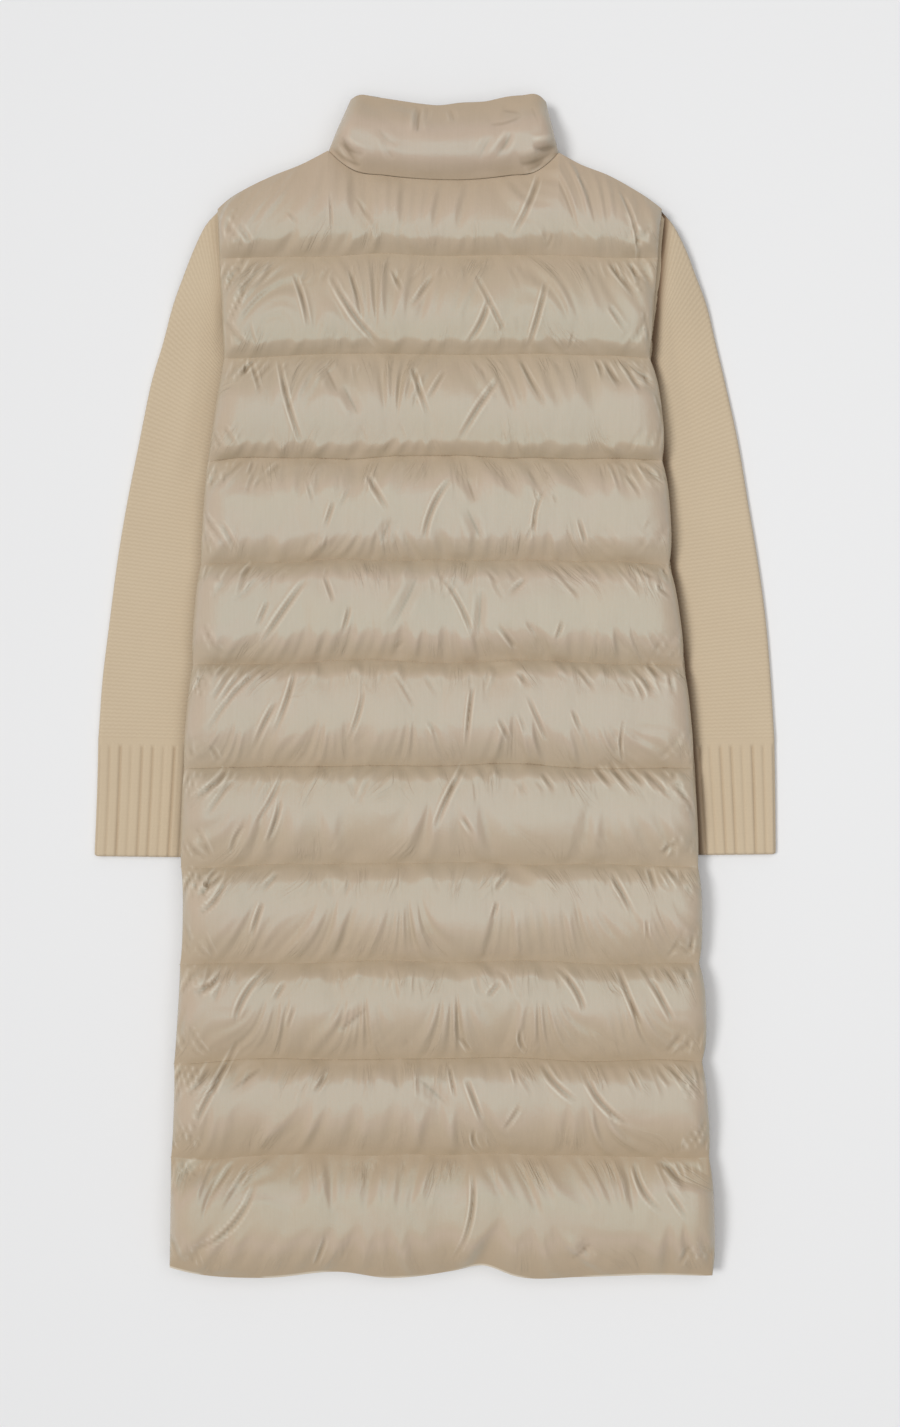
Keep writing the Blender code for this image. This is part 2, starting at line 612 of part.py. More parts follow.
# The knitted tubes


def tube_loop(width, thickness, face_steps, end_steps):
    """(across, up, across_normal, up_normal) round a flattened tube, from under its round outer end."""
    radius = thickness / 2.0
    reach = width / 2.0 - radius
    loop = []
    for end in (1, -1):
        for step in range(end_steps):
            turn = np.pi * (step / end_steps - 0.5)
            across, up = np.cos(turn) * end, np.sin(turn) * end
            loop.append((reach * end + radius * across, radius * up, across, up))
        for step in range(face_steps):
            loop.append((end * reach * (1.0 - 2.0 * step / face_steps), radius * end, 0.0, float(end)))
    return np.array(loop)


def armhole_x(y, side):
    """x of the body's edge along an armhole."""
    lines = QUILT_LINES[2::-1]
    return np.interp(y, [line.y for line in lines], [line.left if side < 0 else line.right for line in lines])


def sleeve_underside(x, y, side):
    """Height of a sleeve's underside: on the surface, rising to the body's edge at the armhole."""
    away = np.maximum(side * (x - armhole_x(y, side)), 0.0)
    return (
        SLEEVE_HEAD_LIFT
        * smoothstep((y - UNDERARM_Y) / SLEEVE_HEAD_RISE)
        * (1.0 - smoothstep(away / SLEEVE_HEAD_FADE))
    )


def ring_at(section, loop, thickness, side, crown=0.0, folds=(), raised=0.0):
    """One ring of points: a tube's loop laid across a section."""
    outer = np.array((section.outer_x, section.outer_y))
    inner = np.array((section.inner_x, section.inner_y))
    width = np.hypot(*(outer - inner))
    direction = (outer - inner) / width
    across = loop[:, 0] + raised * loop[:, 2]
    plan = (outer + inner) / 2.0 + across[:, None] * direction
    x, y = plan[:, 0], plan[:, 1]
    up = thickness / 2.0 + loop[:, 1] + raised * loop[:, 3]
    top = np.clip(loop[:, 1] / (thickness / 2.0), 0.0, 1.0)
    up = up + top * (crown * (1.0 - (loop[:, 0] / (width / 2.0)) ** 2) - trough(folds, x, y))
    return np.column_stack((x, y, np.maximum(up, 0.0) + sleeve_underside(x, y, side)))


def section_width(section):
    return np.hypot(section.outer_x - section.inner_x, section.outer_y - section.inner_y)


def make_sleeve(name, sections, folds, side, look):
    outside, inside = [], []
    for section in smooth_sections(sections, SLEEVE_RINGS):
        width = section_width(section)
        for rings, wall in ((outside, 0.0), (inside, KNIT_WALL)):
            loop = tube_loop(
                width - 2 * wall, SLEEVE_THICKNESS - 2 * wall, SLEEVE_FACE_STEPS, TUBE_END_STEPS
            )
            rings.append(ring_at(section, loop, SLEEVE_THICKNESS, side, SLEEVE_CROWN, folds))
    return add_tube(name, outside, inside, look)


def make_cuff(name, sections, side, look):
    """The ribs are raised in the outside, over a plain inside."""
    steps = len(RIB_PROFILE)
    outside, inside = [], []
    for section in smooth_sections(sections, CUFF_RINGS):
        width = section_width(section)
        loop = tube_loop(width, CUFF_THICKNESS, RIBS_ON_A_FACE * steps, steps)
        raised = np.array([RIB_PROFILE[i % steps] for i in range(len(loop))])
        outside.append(ring_at(section, loop, CUFF_THICKNESS, side, raised=raised))
        loop = tube_loop(
            width - 2 * KNIT_WALL, CUFF_THICKNESS - 2 * KNIT_WALL, RIBS_ON_A_FACE * steps, steps
        )
        inside.append(ring_at(section, loop, CUFF_THICKNESS, side))
    return add_tube(name, outside, inside, look)


# The closure


def add_bar(name, centre, size, look):
    work = bmesh.new()
    bmesh.ops.create_cube(work, size=1.0)
    bmesh.ops.scale(work, vec=size, verts=work.verts)
    bmesh.ops.translate(work, vec=centre, verts=work.verts)
    mesh = bpy.data.meshes.new(name)
    work.to_mesh(mesh)
    work.free()
    mesh.materials.append(look)
    placed = bpy.data.objects.new(name, mesh)
    bpy.context.scene.collection.objects.link(placed)
    return placed


def make_closure(tape_look, metal_look):
    width = CLOSURE_WIDTH - 2 * SEAM_GAP
    top_y = COLLAR_FRONT_TOP_Y - CHAIN_TOP_SPACE
    add_bar(
        "front_zip",
        (CENTRE_FRONT_X, (CHAIN_HEM_Y + top_y) / 2, (CHAIN_LOW + CHAIN_HIGH) / 2),
        (width, top_y - CHAIN_HEM_Y, CHAIN_HIGH - CHAIN_LOW),
        tape_look,
    )
    slider_high = CHAIN_LOW - SEAM_GAP
    add_bar(
        "zip_slider",
        (CENTRE_FRONT_X, top_y - SLIDER_TOP_SPACE - SLIDER_LENGTH / 2, (SLIDER_LOW + slider_high) / 2),
        (width - 2 * SLIDER_SIDE_SPACE, SLIDER_LENGTH, slider_high - SLIDER_LOW),
        metal_look,
    )


def main():
    for old in list(bpy.data.objects):
        bpy.data.objects.remove(old)
    shell = material("shell_fabric", (0.50, 0.43, 0.34), 0.42)
    knit = material("knit", (0.58, 0.48, 0.33), 0.95)
    tape = material("zip_tape", (0.50, 0.43, 0.34), 0.80)
    metal = material("zip_metal", (0.60, 0.56, 0.48), 0.30, 1.0)
    make_back_panel(shell)
    make_front("front_left", -1, shell)
    make_front("front_right", 1, shell)
    make_collar(shell)
    make_sleeve("sleeve_left", LEFT_SLEEVE, LEFT_SLEEVE_FOLDS, -1, knit)
    make_sleeve("sleeve_right", RIGHT_SLEEVE, RIGHT_SLEEVE_FOLDS, 1, knit)
    make_cuff("cuff_left", LEFT_CUFF, -1, knit)
    make_cuff("cuff_right", RIGHT_CUFF, 1, knit)
    make_closure(tape, metal)


main()
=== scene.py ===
"""Dresses a long quilted down coat with knitted sleeves, which lies flat on its front with its back up.

Sizes are in metres, and in millimetres where the tables say so. +Y runs up the coat to its collar, +X to
the right as seen from above, and +Z up from the floor. Each operator makes one piece, or one group of like
pieces, in place of the plain solids of the frame.
"""

import math
from collections import namedtuple

import bmesh
import bpy
import numpy as np
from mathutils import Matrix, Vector


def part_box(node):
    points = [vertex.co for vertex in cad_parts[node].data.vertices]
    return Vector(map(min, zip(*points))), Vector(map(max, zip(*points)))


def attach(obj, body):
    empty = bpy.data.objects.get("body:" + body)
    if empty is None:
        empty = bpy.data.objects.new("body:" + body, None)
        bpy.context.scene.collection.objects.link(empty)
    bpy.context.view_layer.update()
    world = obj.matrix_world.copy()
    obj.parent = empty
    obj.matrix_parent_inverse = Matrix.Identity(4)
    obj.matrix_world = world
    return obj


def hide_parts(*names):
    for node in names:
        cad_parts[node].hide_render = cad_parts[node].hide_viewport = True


bl_info = {
    "name": "Long Down Coat",
    "version": (1, 0, 0),
    "blender": (4, 5, 0),
    "location": "3D View > Sidebar > Coat",
    "description": "Makes the pieces of a long quilted down coat with knitted sleeves, laid flat",
    "category": "Add Mesh",
}

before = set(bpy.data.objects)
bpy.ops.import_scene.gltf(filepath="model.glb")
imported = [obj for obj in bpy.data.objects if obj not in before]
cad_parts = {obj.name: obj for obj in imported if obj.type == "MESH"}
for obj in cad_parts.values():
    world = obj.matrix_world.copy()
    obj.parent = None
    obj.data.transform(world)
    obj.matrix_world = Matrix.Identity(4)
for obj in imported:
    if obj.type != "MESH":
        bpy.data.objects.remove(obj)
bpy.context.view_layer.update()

MM = 0.001

# The cut of the coat, as the solids have it
SEAM_GAP = 0.0003  # between pieces that are sewn to each other
BACK_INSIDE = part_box("back_panel")[0].z
FRONT_INSIDE = BACK_INSIDE - SEAM_GAP
STITCHED_WALL = 0.0050  # thickness of the back along a quilting line
EDGE_WALL = 0.0030  # and along its side edges
THINNEST_WALL = 0.0016
SIDE_ROLL = 0.027  # width of the rounded side edge
ARMHOLE_ROLL = 0.022  # the same, above the underarm
LINE_EDGE_DROP = 0.004  # how far the quilting lines droop at their ends
CENTRE_FRONT_X = 0.007
CLOSURE_WIDTH = 0.0092
NECK_LEFT = (-0.1070, 0.5365)
NECK_RIGHT = (0.1240, 0.5345)
FRONT_NECK_Y = 0.4770
COLLAR_FRONT_TOP_Y = 0.5660
UNDERARM_Y = 0.3315

# The fronts: how high their edges lie off the floor, and how far in from them
SIDE_LIFT = 0.0108  # where the sleeves run in under them
SIDE_LIFT_REACH = 0.052
BELOW_CUFF_LIFT = 0.0070
BELOW_CUFF_REACH = 0.014
CUFF_END_Y = -0.1710
SIDE_LIP = 0.0176  # height of the side edge itself
LIFT_FADE = 0.048
LIFT_CHANGE = 0.06  # length over which the lift falls, past the end of the cuffs
LIP_ROLL = 0.012
SIDE_PINCH = 0.0025  # how far a quilting line draws the side edge up
PINCH_FADE = 0.06
TOP_LIFT = 0.0075
TOP_LIFT_FADE = 0.035
HEM_LIFT = 0.0040
HEM_LIFT_FADE = 0.018
GROOVE_DEPTH = 0.006  # of the fronts' quilting lines
GROOVE_SHARE = 0.16  # share of a channel that a groove's side takes up

# The sleeves and the cuffs
SLEEVE_THICKNESS = 0.0080
KNIT_WALL = 0.0032
SLEEVE_CROWN = 0.0010  # how much higher a sleeve lies along its middle
SLEEVE_HEAD_LIFT = 0.0125  # how far a sleeve rises off the floor at the top of its armhole
SLEEVE_HEAD_FADE = 0.075
SLEEVE_HEAD_RISE = 0.07
CUFF_THICKNESS = 0.0088
KNIT_SPREAD = 0.0032  # how much wider than its solid the soft knit lies
SPREAD_BELOW_Y = 0.46
SPREAD_FADE = 0.09
SLEEVE_PRESS = {-1: 0.0008, 1: 0.0056}  # how far the body presses each sleeve in beside its edge
PRESS_REACH = 0.008
TUCKED_SHADE = {-1: 0.10, 1: 0.85}  # how much painted shadow the knit gets from the body beside its edge, where it runs in under the body
TUCKED_START = 0.0035
TUCKED_REACH = 0.0055
CUFF_BLEND = 0.030  # length over which a sleeve thickens into its cuff
KNIT_END_FADE = 0.006  # and over which its rows flatten out there
UNDERSIDE_RELIEF = 0.35  # share of the knit's relief that its pressed underside keeps
RIBS_ON_A_FACE = 8
GROOVE_WIDTH = 0.15  # half the width of a groove, as a share of a rib's pitch
WALE_DEPTH = 0.07  # of the line along a rib's middle, against the grooves' depth
WALE_WIDTH = 0.07
RIB_ROUND = 0.22  # how far a rib falls off to its sides, against the grooves' depth
RIB_ROW_RELIEF = 0.00001
CUFF_ROLL = 0.0030  # length over which a cuff's end rolls in
CUFF_ROLL_DEPTH = 0.0022
GROOVE_SHADE = 0.6  # painted shade in the grooves: how dark the wool is painted there

# The collar
COLLAR_STITCHED_WALL = 0.0060
COLLAR_CROWN = 0.0195
COLLAR_SIDE_ROLL = 0.018
COLLAR_FRONT_INSIDE = 0.0196  # height of the inside of the collar's lower wall
COLLAR_HOLLOW_INSET = 0.014
COLLAR_SEAM_RISE = 0.30  # share of the collar's height over which it fills out above its seam
COLLAR_TOP_FALL = 0.60  # and over which it falls off towards its top
COLLAR_FULLNESS = (0.12, 0.92)  # the stretch of a rounded arch that the collar's height shows

# The padding and its folds
FOLD_LINE = 1.0  # half the width of the painted shade line along a crease, in millimetres
SHARP_WIDTH = 1.6  # a crease no wider than this, in millimetres, has full painted highlights on the ridges beside it
BRIGHTEST_FOLD = 0.0013  # limit of a crease's painted highlight, where several cross
HEM_SHINE = 0.0021  # how much painted highlight the turned edge of the hem gets, by places
GATHER_DEPTH = 0.0008
GATHER_PITCH = 0.0125  # from one gather to the next along a quilting line
GATHER_REACH = 0.0130  # distance from the line at which they are deepest
GATHER_REACH_CHANGE = 0.0040
GATHER_STRENGTH = 0.28  # share of the full depth that they have on the whole
GATHER_STRENGTH_CHANGE = 0.90
GATHERED_ABOVE_SHARE = 0.6  # how strongly the cloth is gathered above a line, against below it
YOKE_TOP_SHARE = 0.15  # and along the shoulders and the neck
BAND_JAG = 0.16  # how unevenly the channels fill out along their lines
CLUMP_HEIGHT = 0.0008  # size of the uneven clumps of the filling
PUFF_SHARE = 0.45  # how much of the cloth solver's moves is kept
YOKE_PUFF_SHARE = 0.4  # how much of that the channel at the shoulders keeps

# Where the meshes have their points
BACK_STEPS = 44  # rows of points in each channel of the back
BACK_SPACING = 0.00096  # and from one column of them to the next
COARSE_COLUMNS, COARSE_STEPS = 111, 19  # of the grid that the cloth solver moves
FRONT_STEPS = 16
FRONT_COLUMNS = 62
COLLAR_STEPS = 60
SLEEVE_LOOP = (64, 8, 16)  # points of a ring across its top, round each side and across its underside
CUFF_LOOP = (96, 12, 64)
SLEEVE_RINGS = 531
INSIDE_SHARE = 53  # rings round a sleeve's outside for each one round its inside
CUFF_RINGS = 96
CUFF_INSIDE_RINGS = 5
SEAM_ANGLE = math.radians(50.0)  # a sharper fold than this is a stitched line

# How each channel fills out, from the shoulders to the hem. above and below are the shares of its height
# that this takes, beside its upper and its lower line. A lower bend gives a straighter slope, crown is the
# share of the solids' crown, and droop is how much lower the cloth lies by its lower line, or by its upper
# one where it is below 0.
ChannelFill = namedtuple("ChannelFill", "above below bend crown droop")
CHANNEL_FILLS = (
    ChannelFill(0.62, 0.22, 1.5, 1.45, 0.35),
    ChannelFill(0.66, 0.13, 1.5, 1.10, 0.40),
    ChannelFill(0.52, 0.13, 1.6, 1.02, 0.36),
    ChannelFill(0.38, 0.24, 1.7, 0.92, 0.14),
    ChannelFill(0.20, 0.32, 1.7, 0.92, -0.10),
    ChannelFill(0.14, 0.40, 1.7, 0.94, -0.20),
    ChannelFill(0.14, 0.55, 1.7, 0.98, -0.28),
    ChannelFill(0.17, 0.58, 1.7, 0.98, -0.26),
    ChannelFill(0.16, 0.60, 1.6, 0.98, -0.26),
    ChannelFill(0.23, 0.54, 1.7, 0.96, -0.18),
    ChannelFill(0.38, 0.42, 1.6, 1.00, 0.0),
)

# The quilting lines, from the shoulders to the hem. swell_left, swell_right and crown belong to the channel
# below each line: how far its ends bulge past the line's ends, and how far its middle rises above the line.
QuiltLine = namedtuple("QuiltLine", "y left right swell_left swell_right crown")
QUILT_LINES = (
    QuiltLine(0.4785, -0.2175, 0.2270, 0.0000, 0.0000, 0.0130),
    QuiltLine(0.4325, -0.2154, 0.2232, 0.0000, 0.0000, 0.0180),
    QuiltLine(0.3335, -0.2110, 0.2150, 0.0010, 0.0060, 0.0195),
    QuiltLine(0.2305, -0.2270, 0.2270, 0.0015, 0.0050, 0.0195),
    QuiltLine(0.1275, -0.2340, 0.2340, 0.0030, 0.0040, 0.0200),
    QuiltLine(0.0265, -0.2420, 0.2480, 0.0025, 0.0030, 0.0200),
    QuiltLine(-0.0775, -0.2510, 0.2580, 0.0015, 0.0020, 0.0200),
    QuiltLine(-0.1755, -0.2540, 0.2630, -0.0020, 0.0040, 0.0195),
    QuiltLine(-0.2735, -0.2550, 0.2640, -0.0005, 0.0060, 0.0195),
    QuiltLine(-0.3705, -0.2610, 0.2670, -0.0010, 0.0030, 0.0190),
    QuiltLine(-0.4665, -0.2640, 0.2740, 0.0000, 0.0040, 0.0190),
    QuiltLine(-0.5800, -0.2655, 0.2775, 0.0000, 0.0000, 0.0000),
)

Point = namedtuple("Point", "x y")
LEFT_SHOULDER = (
    Point(-0.2175, 0.4785),
    Point(-0.2070, 0.4875),
    Point(-0.1870, 0.4995),
    Point(-0.1630, 0.5110),
    Point(-0.1320, 0.5235),
    Point(*NECK_LEFT),
)
BACK_NECK = (
    Point(*NECK_LEFT),
    Point(-0.0950, 0.5255),
    Point(-0.0830, 0.5175),
    Point(-0.0490, 0.5115),
    Point(-0.0010, 0.5075),
    Point(0.0370, 0.5075),
    Point(0.0750, 0.5115),
    Point(0.1010, 0.5155),
    Point(0.1140, 0.5245),
    Point(*NECK_RIGHT),
)
RIGHT_SHOULDER = (
    Point(*NECK_RIGHT),
    Point(0.1440, 0.5235),
    Point(0.1740, 0.5115),
    Point(0.1960, 0.4995),
    Point(0.2150, 0.4875),
    Point(0.2270, 0.4785),
)
HEM = (
    Point(-0.2655, -0.5800),
    Point(-0.2470, -0.5845),
    Point(-0.1700, -0.5900),
    Point(-0.0940, -0.5840),
    Point(-0.0460, -0.5900),
    Point(0.0200, -0.5825),
    Point(0.0470, -0.5775),
    Point(0.0810, -0.5885),
    Point(0.1480, -0.5890),
    Point(0.2210, -0.5870),
    Point(0.2775, -0.5880),
)
COLLAR_TOP = (
    Point(-0.0850, 0.5880),
    Point(-0.0790, 0.5912),
    Point(-0.0580, 0.5895),
    Point(-0.0340, 0.5860),
    Point(-0.0100, 0.5826),
    Point(0.0020, 0.5816),
    Point(0.0260, 0.5842),
    Point(0.0500, 0.5855),
    Point(0.0740, 0.5905),
    Point(0.0860, 0.5915),
    Point(0.1050, 0.5912),
    Point(0.1115, 0.5860),
)

# Sections across each sleeve, from the armhole to the cuff
Section = namedtuple("Section", "outer_x outer_y inner_x inner_y")
LEFT_SLEEVE = (
    Section(-0.2180, 0.4780, -0.2115, 0.3315),
    Section(-0.2310, 0.4635, -0.2060, 0.3235),
    Section(-0.2420, 0.4415, -0.1990, 0.3145),
    Section(-0.2520, 0.4145, -0.1920, 0.3035),
    Section(-0.2620, 0.3845, -0.1870, 0.2895),
    Section(-0.2720, 0.3475, -0.1840, 0.2715),
    Section(-0.2840, 0.3065, -0.1840, 0.2475),
    Section(-0.2960, 0.2475, -0.1880, 0.2125),
    Section(-0.3080, 0.1875, -0.1970, 0.1675),
    Section(-0.3180, 0.1275, -0.2080, 0.1125),
    Section(-0.3260, 0.0655, -0.2220, 0.0545),
    Section(-0.3330, 0.0075, -0.2350, -0.0005),
    Section(-0.3370, -0.0505, -0.2450, -0.0525),
)
RIGHT_SLEEVE = (
    Section(0.2276, 0.4780, 0.2156, 0.3315),
    Section(0.2400, 0.4635, 0.2090, 0.3235),
    Section(0.2520, 0.4405, 0.2020, 0.3145),
    Section(0.2610, 0.4155, 0.1950, 0.3035),
    Section(0.2710, 0.3865, 0.1900, 0.2895),
    Section(0.2800, 0.3495, 0.1870, 0.2705),
    Section(0.2900, 0.3075, 0.1870, 0.2465),
    Section(0.3030, 0.2475, 0.1920, 0.2115),
    Section(0.3130, 0.1875, 0.2020, 0.1665),
    Section(0.3230, 0.1275, 0.2140, 0.1125),
    Section(0.3310, 0.0675, 0.2260, 0.0545),
    Section(0.3360, 0.0075, 0.2380, -0.0005),
    Section(0.3395, -0.0505, 0.2490, -0.0525),
)
LEFT_CUFF = (
    Section(-0.3371, -0.0508, -0.2468, -0.0528),
    Section(-0.3385, -0.1080, -0.2500, -0.1090),
    Section(-0.3410, -0.1700, -0.2540, -0.1710),
)
RIGHT_CUFF = (
    Section(0.3396, -0.0508, 0.2505, -0.0528),
    Section(0.3405, -0.1080, 0.2545, -0.1090),
    Section(0.3410, -0.1680, 0.2590, -0.1690),
)

# A crease runs from x0, y0 to x1, y1, bowed aside at its middle, with its width and depth, in millimetres.
Crease = namedtuple("Crease", "x0 y0 x1 y1 bow width depth")


def crease_kind(width, depth):
    """Makes the creases of one width and depth."""
    return lambda x0, y0, x1, y1, bow=0: Crease(x0, y0, x1, y1, bow, width, depth)


slight = crease_kind(1.2, 0.9)
fine = crease_kind(1.3, 1.7)
deep = crease_kind(1.5, 2.3)
broad = crease_kind(3.6, 1.8)
CREASES = (
    # channel 1
    deep(104, 512, 70, 438, -4), slight(117, 450, 112, 436), fine(184, 496, 205, 416, -4),
    slight(142, 512, 150, 494), slight(-196, 480, -211, 436), slight(-146, 472, -136, 460),
    slight(-104, 490, -102, 446), slight(-79, 488, -52, 444),
    # channel 2
    fine(-196, 428, -209, 390), deep(-188, 396, -207, 356), deep(-140, 410, -125, 354, -2),
    deep(-104, 410, -52, 338, 5), fine(-85, 416, -73, 374), fine(-43, 416, -33, 392),
    fine(1, 412, -23, 378), fine(39, 412, 69, 352), deep(54, 384, 27, 336, -4),
    deep(111, 404, 93, 338, -1), slight(138, 352, 134, 338), deep(174, 424, 203, 384, 1),
    fine(172, 378, 195, 346), fine(195, 424, 205, 392), fine(207, 378, 215, 336),
    # channel 3
    fine(-190, 330, -188, 308), fine(-184, 328, -173, 294), deep(-156, 330, -132, 240, 2),
    broad(-110, 320, -95, 288), broad(-92, 300, -76, 270), deep(-22, 318, -2, 258, 1),
    fine(11, 316, -6, 286), deep(65, 308, 22, 240, 2), fine(86, 326, 117, 268, 2),
    broad(170, 318, 187, 298), deep(188, 326, 215, 302), fine(220, 292, 229, 262),
    # channel 4
    slight(-128, 208, -120, 180), fine(-100, 184, -110, 156), slight(-105, 152, -110, 138),
    slight(-83, 200, -94, 178), deep(-67, 212, -44, 172, 1), broad(-43, 168, -55, 142),
    deep(17, 208, -11, 146, 5), broad(32, 208, 40, 182), broad(31, 178, 45, 148),
    fine(110, 198, 100, 142, 6), slight(101, 168, 89, 142), slight(98, 198, 102, 184),
    slight(117, 192, 123, 178), fine(142, 168, 150, 142), fine(190, 212, 205, 188),
    deep(205, 222, 227, 200), slight(215, 168, 205, 152), slight(-171, 210, -178, 198),
    slight(-230, 178, -222, 158),
    # channel 5
    fine(-180, 126, -192, 110), slight(-160, 114, -165, 98), deep(-127, 108, -175, 38, 1),
    fine(-165, 86, -177, 58), fine(-110, 112, -100, 84), fine(-84, 80, -93, 48),
    broad(-17, 112, -50, 48, -2), fine(5, 112, 38, 48, -4), slight(-30, 48, -40, 38),
    broad(46, 98, 43, 48), slight(50, 118, 62, 104), fine(90, 108, 73, 92), fine(118, 118, 143, 90),
    slight(145, 112, 167, 96), fine(62, 62, 80, 40), fine(127, 66, 120, 46), slight(90, 66, 100, 52),
    fine(205, 118, 215, 108), fine(220, 102, 233, 88),
    # channel 6
    deep(-223, 22, -237, -4), fine(-196, 12, -219, -24), fine(-169, 22, -228, -52, 6),
    deep(-157, -14, -184, -74, 2), deep(-139, 18, -164, -54, -3), fine(-71, -4, -91, -62, -3),
    slight(-41, 16, -19, -20), slight(-7, -32, 4, -50), deep(38, 4, 31, -66, 1), fine(81, 16, 95, -0),
    fine(91, -6, 111, -52), slight(83, -24, 90, -44), fine(63, -30, 75, -54), fine(136, -22, 147, -48),
    fine(141, 20, 159, -2), fine(197, 12, 208, -12), deep(211, 26, 236, 2, 3),
    fine(188, -32, 188, -74, 4),
    # channel 7
    deep(-210, -84, -242, -112, -3), fine(-192, -84, -226, -128, 2), fine(-150, -82, -178, -136, -2),
    deep(-153, -110, -167, -154, -2), fine(-187, -134, -203, -166, 3), deep(31, -74, -1, -142, 2),
    fine(106, -84, 120, -104), slight(133, -90, 138, -108), deep(159, -78, 179, -102),
    deep(172, -74, 197, -106), fine(190, -78, 208, -98), fine(209, -82, 234, -110),
    fine(236, -98, 258, -136, -5), fine(27, -128, 41, -150), fine(240, -152, 224, -166),
    # channel 8
    deep(-210, -184, -244, -216), fine(-214, -208, -233, -226), fine(-156, -184, -172, -202),
    deep(-170, -212, -182, -250, 1), fine(75, -182, 60, -200), fine(62, -212, 56, -230),
    deep(175, -182, 198, -228), fine(225, -180, 238, -202), deep(242, -178, 252, -206),
    fine(209, -230, 211, -254),
    # channel 9
    deep(-208, -280, -241, -304, -4), deep(-162, -276, -198, -330, 6), fine(-149, -292, -160, -310),
    fine(-139, -314, -147, -338), broad(-66, -316, -95, -340), deep(121, -278, 148, -320, -4),
    deep(181, -276, 205, -336, 1), deep(204, -276, 236, -332, -1), fine(64, -292, 52, -306),
    fine(85, -338, 96, -368, 5), fine(26, -348, 35, -364),
    # channel 10
    deep(-195, -352, -249, -460, 2), broad(-172, -378, -208, -404), fine(-107, -384, -120, -402),
    broad(-17, -388, 15, -416), fine(14, -376, 20, -406), deep(31, -388, 47, -430),
    fine(77, -378, 83, -398), fine(85, -414, 68, -440), deep(106, -374, 144, -412, 4),
    deep(146, -376, 194, -434, 8), fine(194, -380, 207, -408), fine(39, -438, 51, -466, 6),
    fine(249, -446, 248, -464),
    # channel 11
    deep(-237, -472, -256, -492), deep(-178, -490, -237, -558, -11), fine(-185, -476, -208, -512),
    fine(-201, -474, -226, -512), fine(-107, -542, -119, -576), deep(37, -482, 14, -576, -9),
    deep(198, -474, 234, -524, 8), deep(223, -472, 257, -502), fine(230, -498, 251, -528),
    broad(156, -550, 131, -572),
)
# The collar's and the sleeves' creases, which are all of their own width and depth
COLLAR_CREASES = (
    Crease(-14, 580, -17, 550, 1, 3.2, 2.4),
    Crease(-7, 581, -10, 556, 0, 2.4, 1.0),
    Crease(15, 578, 20, 560, 0, 2.2, 0.9),
    Crease(-103, 540, -73, 520, 3, 2.2, 2.6),
    Crease(-98, 545, -69, 528, 3, 2.0, 2.0),
    Crease(-92, 551, -77, 522, 3, 2.2, 1.8),
    Crease(-58, 556, -38, 536, 2, 2.4, 0.9),
    Crease(-52, 545, -40, 524, 2, 2.2, 0.8),
    Crease(76, 549, 54, 520, -2, 2.4, 2.0),
    Crease(55, 545, 42, 522, 0, 2.6, 1.0),
    Crease(54, 558, 88, 568, 3, 4.0, 1.6),
    Crease(66, 574, 92, 566, -2, 3.5, 1.2),
    Crease(96, 578, 104, 552, 0, 4.0, 1.0),
    Crease(121, 541, 98, 534, -2, 2.4, 3.6),
    Crease(118, 535, 85, 521, -3, 2.4, 2.6),
    Crease(110, 528, 92, 516, -2, 2.2, 1.6),
)
SLEEVE_CREASES = {
    "left": (Crease(-214, 395, -246, 200, -4, 9.0, 1.8), Crease(-230, 300, -262, 60, 0, 12.0, 0.5)),
    "right": (Crease(226, 445, 262, 250, 3, 9.0, 1.2), Crease(252, 300, 300, 40, 0, 14.0, 0.5)),
}
# Across a crease: the height, the middle and the spread of each ridge beside its valley, and of the painted
# highlight on them, the last two as shares of its width
RIDGES = ((0.62, 1.9, 0.9), (0.34, -2.0, 1.2))
SHINES = ((0.9, 1.75, 0.35), (0.5, -1.8, 0.35))

# The channels of the back that each of its pieces takes up, from the first to before the last
BackPiece = namedtuple("BackPiece", "name first last")
BACK_PIECES = (
    BackPiece("quilted_back_yoke", 0, 3),
    BackPiece("quilted_back_waist", 3, 6),
    BackPiece("quilted_back_skirt", 6, 9),
    BackPiece("quilted_back_hem", 9, 11),
)


# Numbers


def smoothstep(share):
    """0 to 1, starting and ending softly."""
    share = np.clip(share, 0.0, 1.0)
    return share * share * (3.0 - 2.0 * share)


def quarter_round(share):
    """0 to 1 along a quarter circle that starts upright."""
    return np.sqrt(1.0 - (1.0 - np.clip(share, 0.0, 1.0)) ** 2)


def swell(share):
    """How full a filled channel is, from one stitched line (0) to the next (1): flat topped, steep sided."""
    return 1.0 - np.abs(2.0 * np.clip(share, 0.0, 1.0) - 1.0) ** 3.0


def channel_full(share, fill, jags):
    """How full a channel of the back is. jags are how much further than its measure the cloth needs to rise
    from its upper line and from its lower one."""
    above = 1.0 - (1.0 - np.clip(share / (fill.above * jags[0]), 0.0, 1.0)) ** fill.bend
    below = 1.0 - (1.0 - np.clip((1.0 - share) / (fill.below * jags[1]), 0.0, 1.0)) ** fill.bend
    droop = fill.droop * share if fill.droop > 0 else fill.droop * (share - 1.0)
    return above * below * (1.0 - droop) * (1.0 - 0.10 * (2.0 * share - 1.0) ** 2)


def smooth_along(points, x):
    """y of a smooth line through points, at x."""
    px, py = np.array([p.x for p in points]), np.array([p.y for p in points])
    slope = np.gradient(py, px)
    i = np.clip(np.searchsorted(px, x) - 1, 0, len(px) - 2)
    step = px[i + 1] - px[i]
    t = np.clip((x - px[i]) / step, 0.0, 1.0)
    return (
        (1 + 2 * t) * (1 - t) ** 2 * py[i]
        + t * (1 - t) ** 2 * step * slope[i]
        + t * t * (3 - 2 * t) * py[i + 1]
        + t * t * (t - 1) * step * slope[i + 1]
    )


WAVE_PEAK = 1.4  # the size that a sum of waves of mean square 1 seldom passes


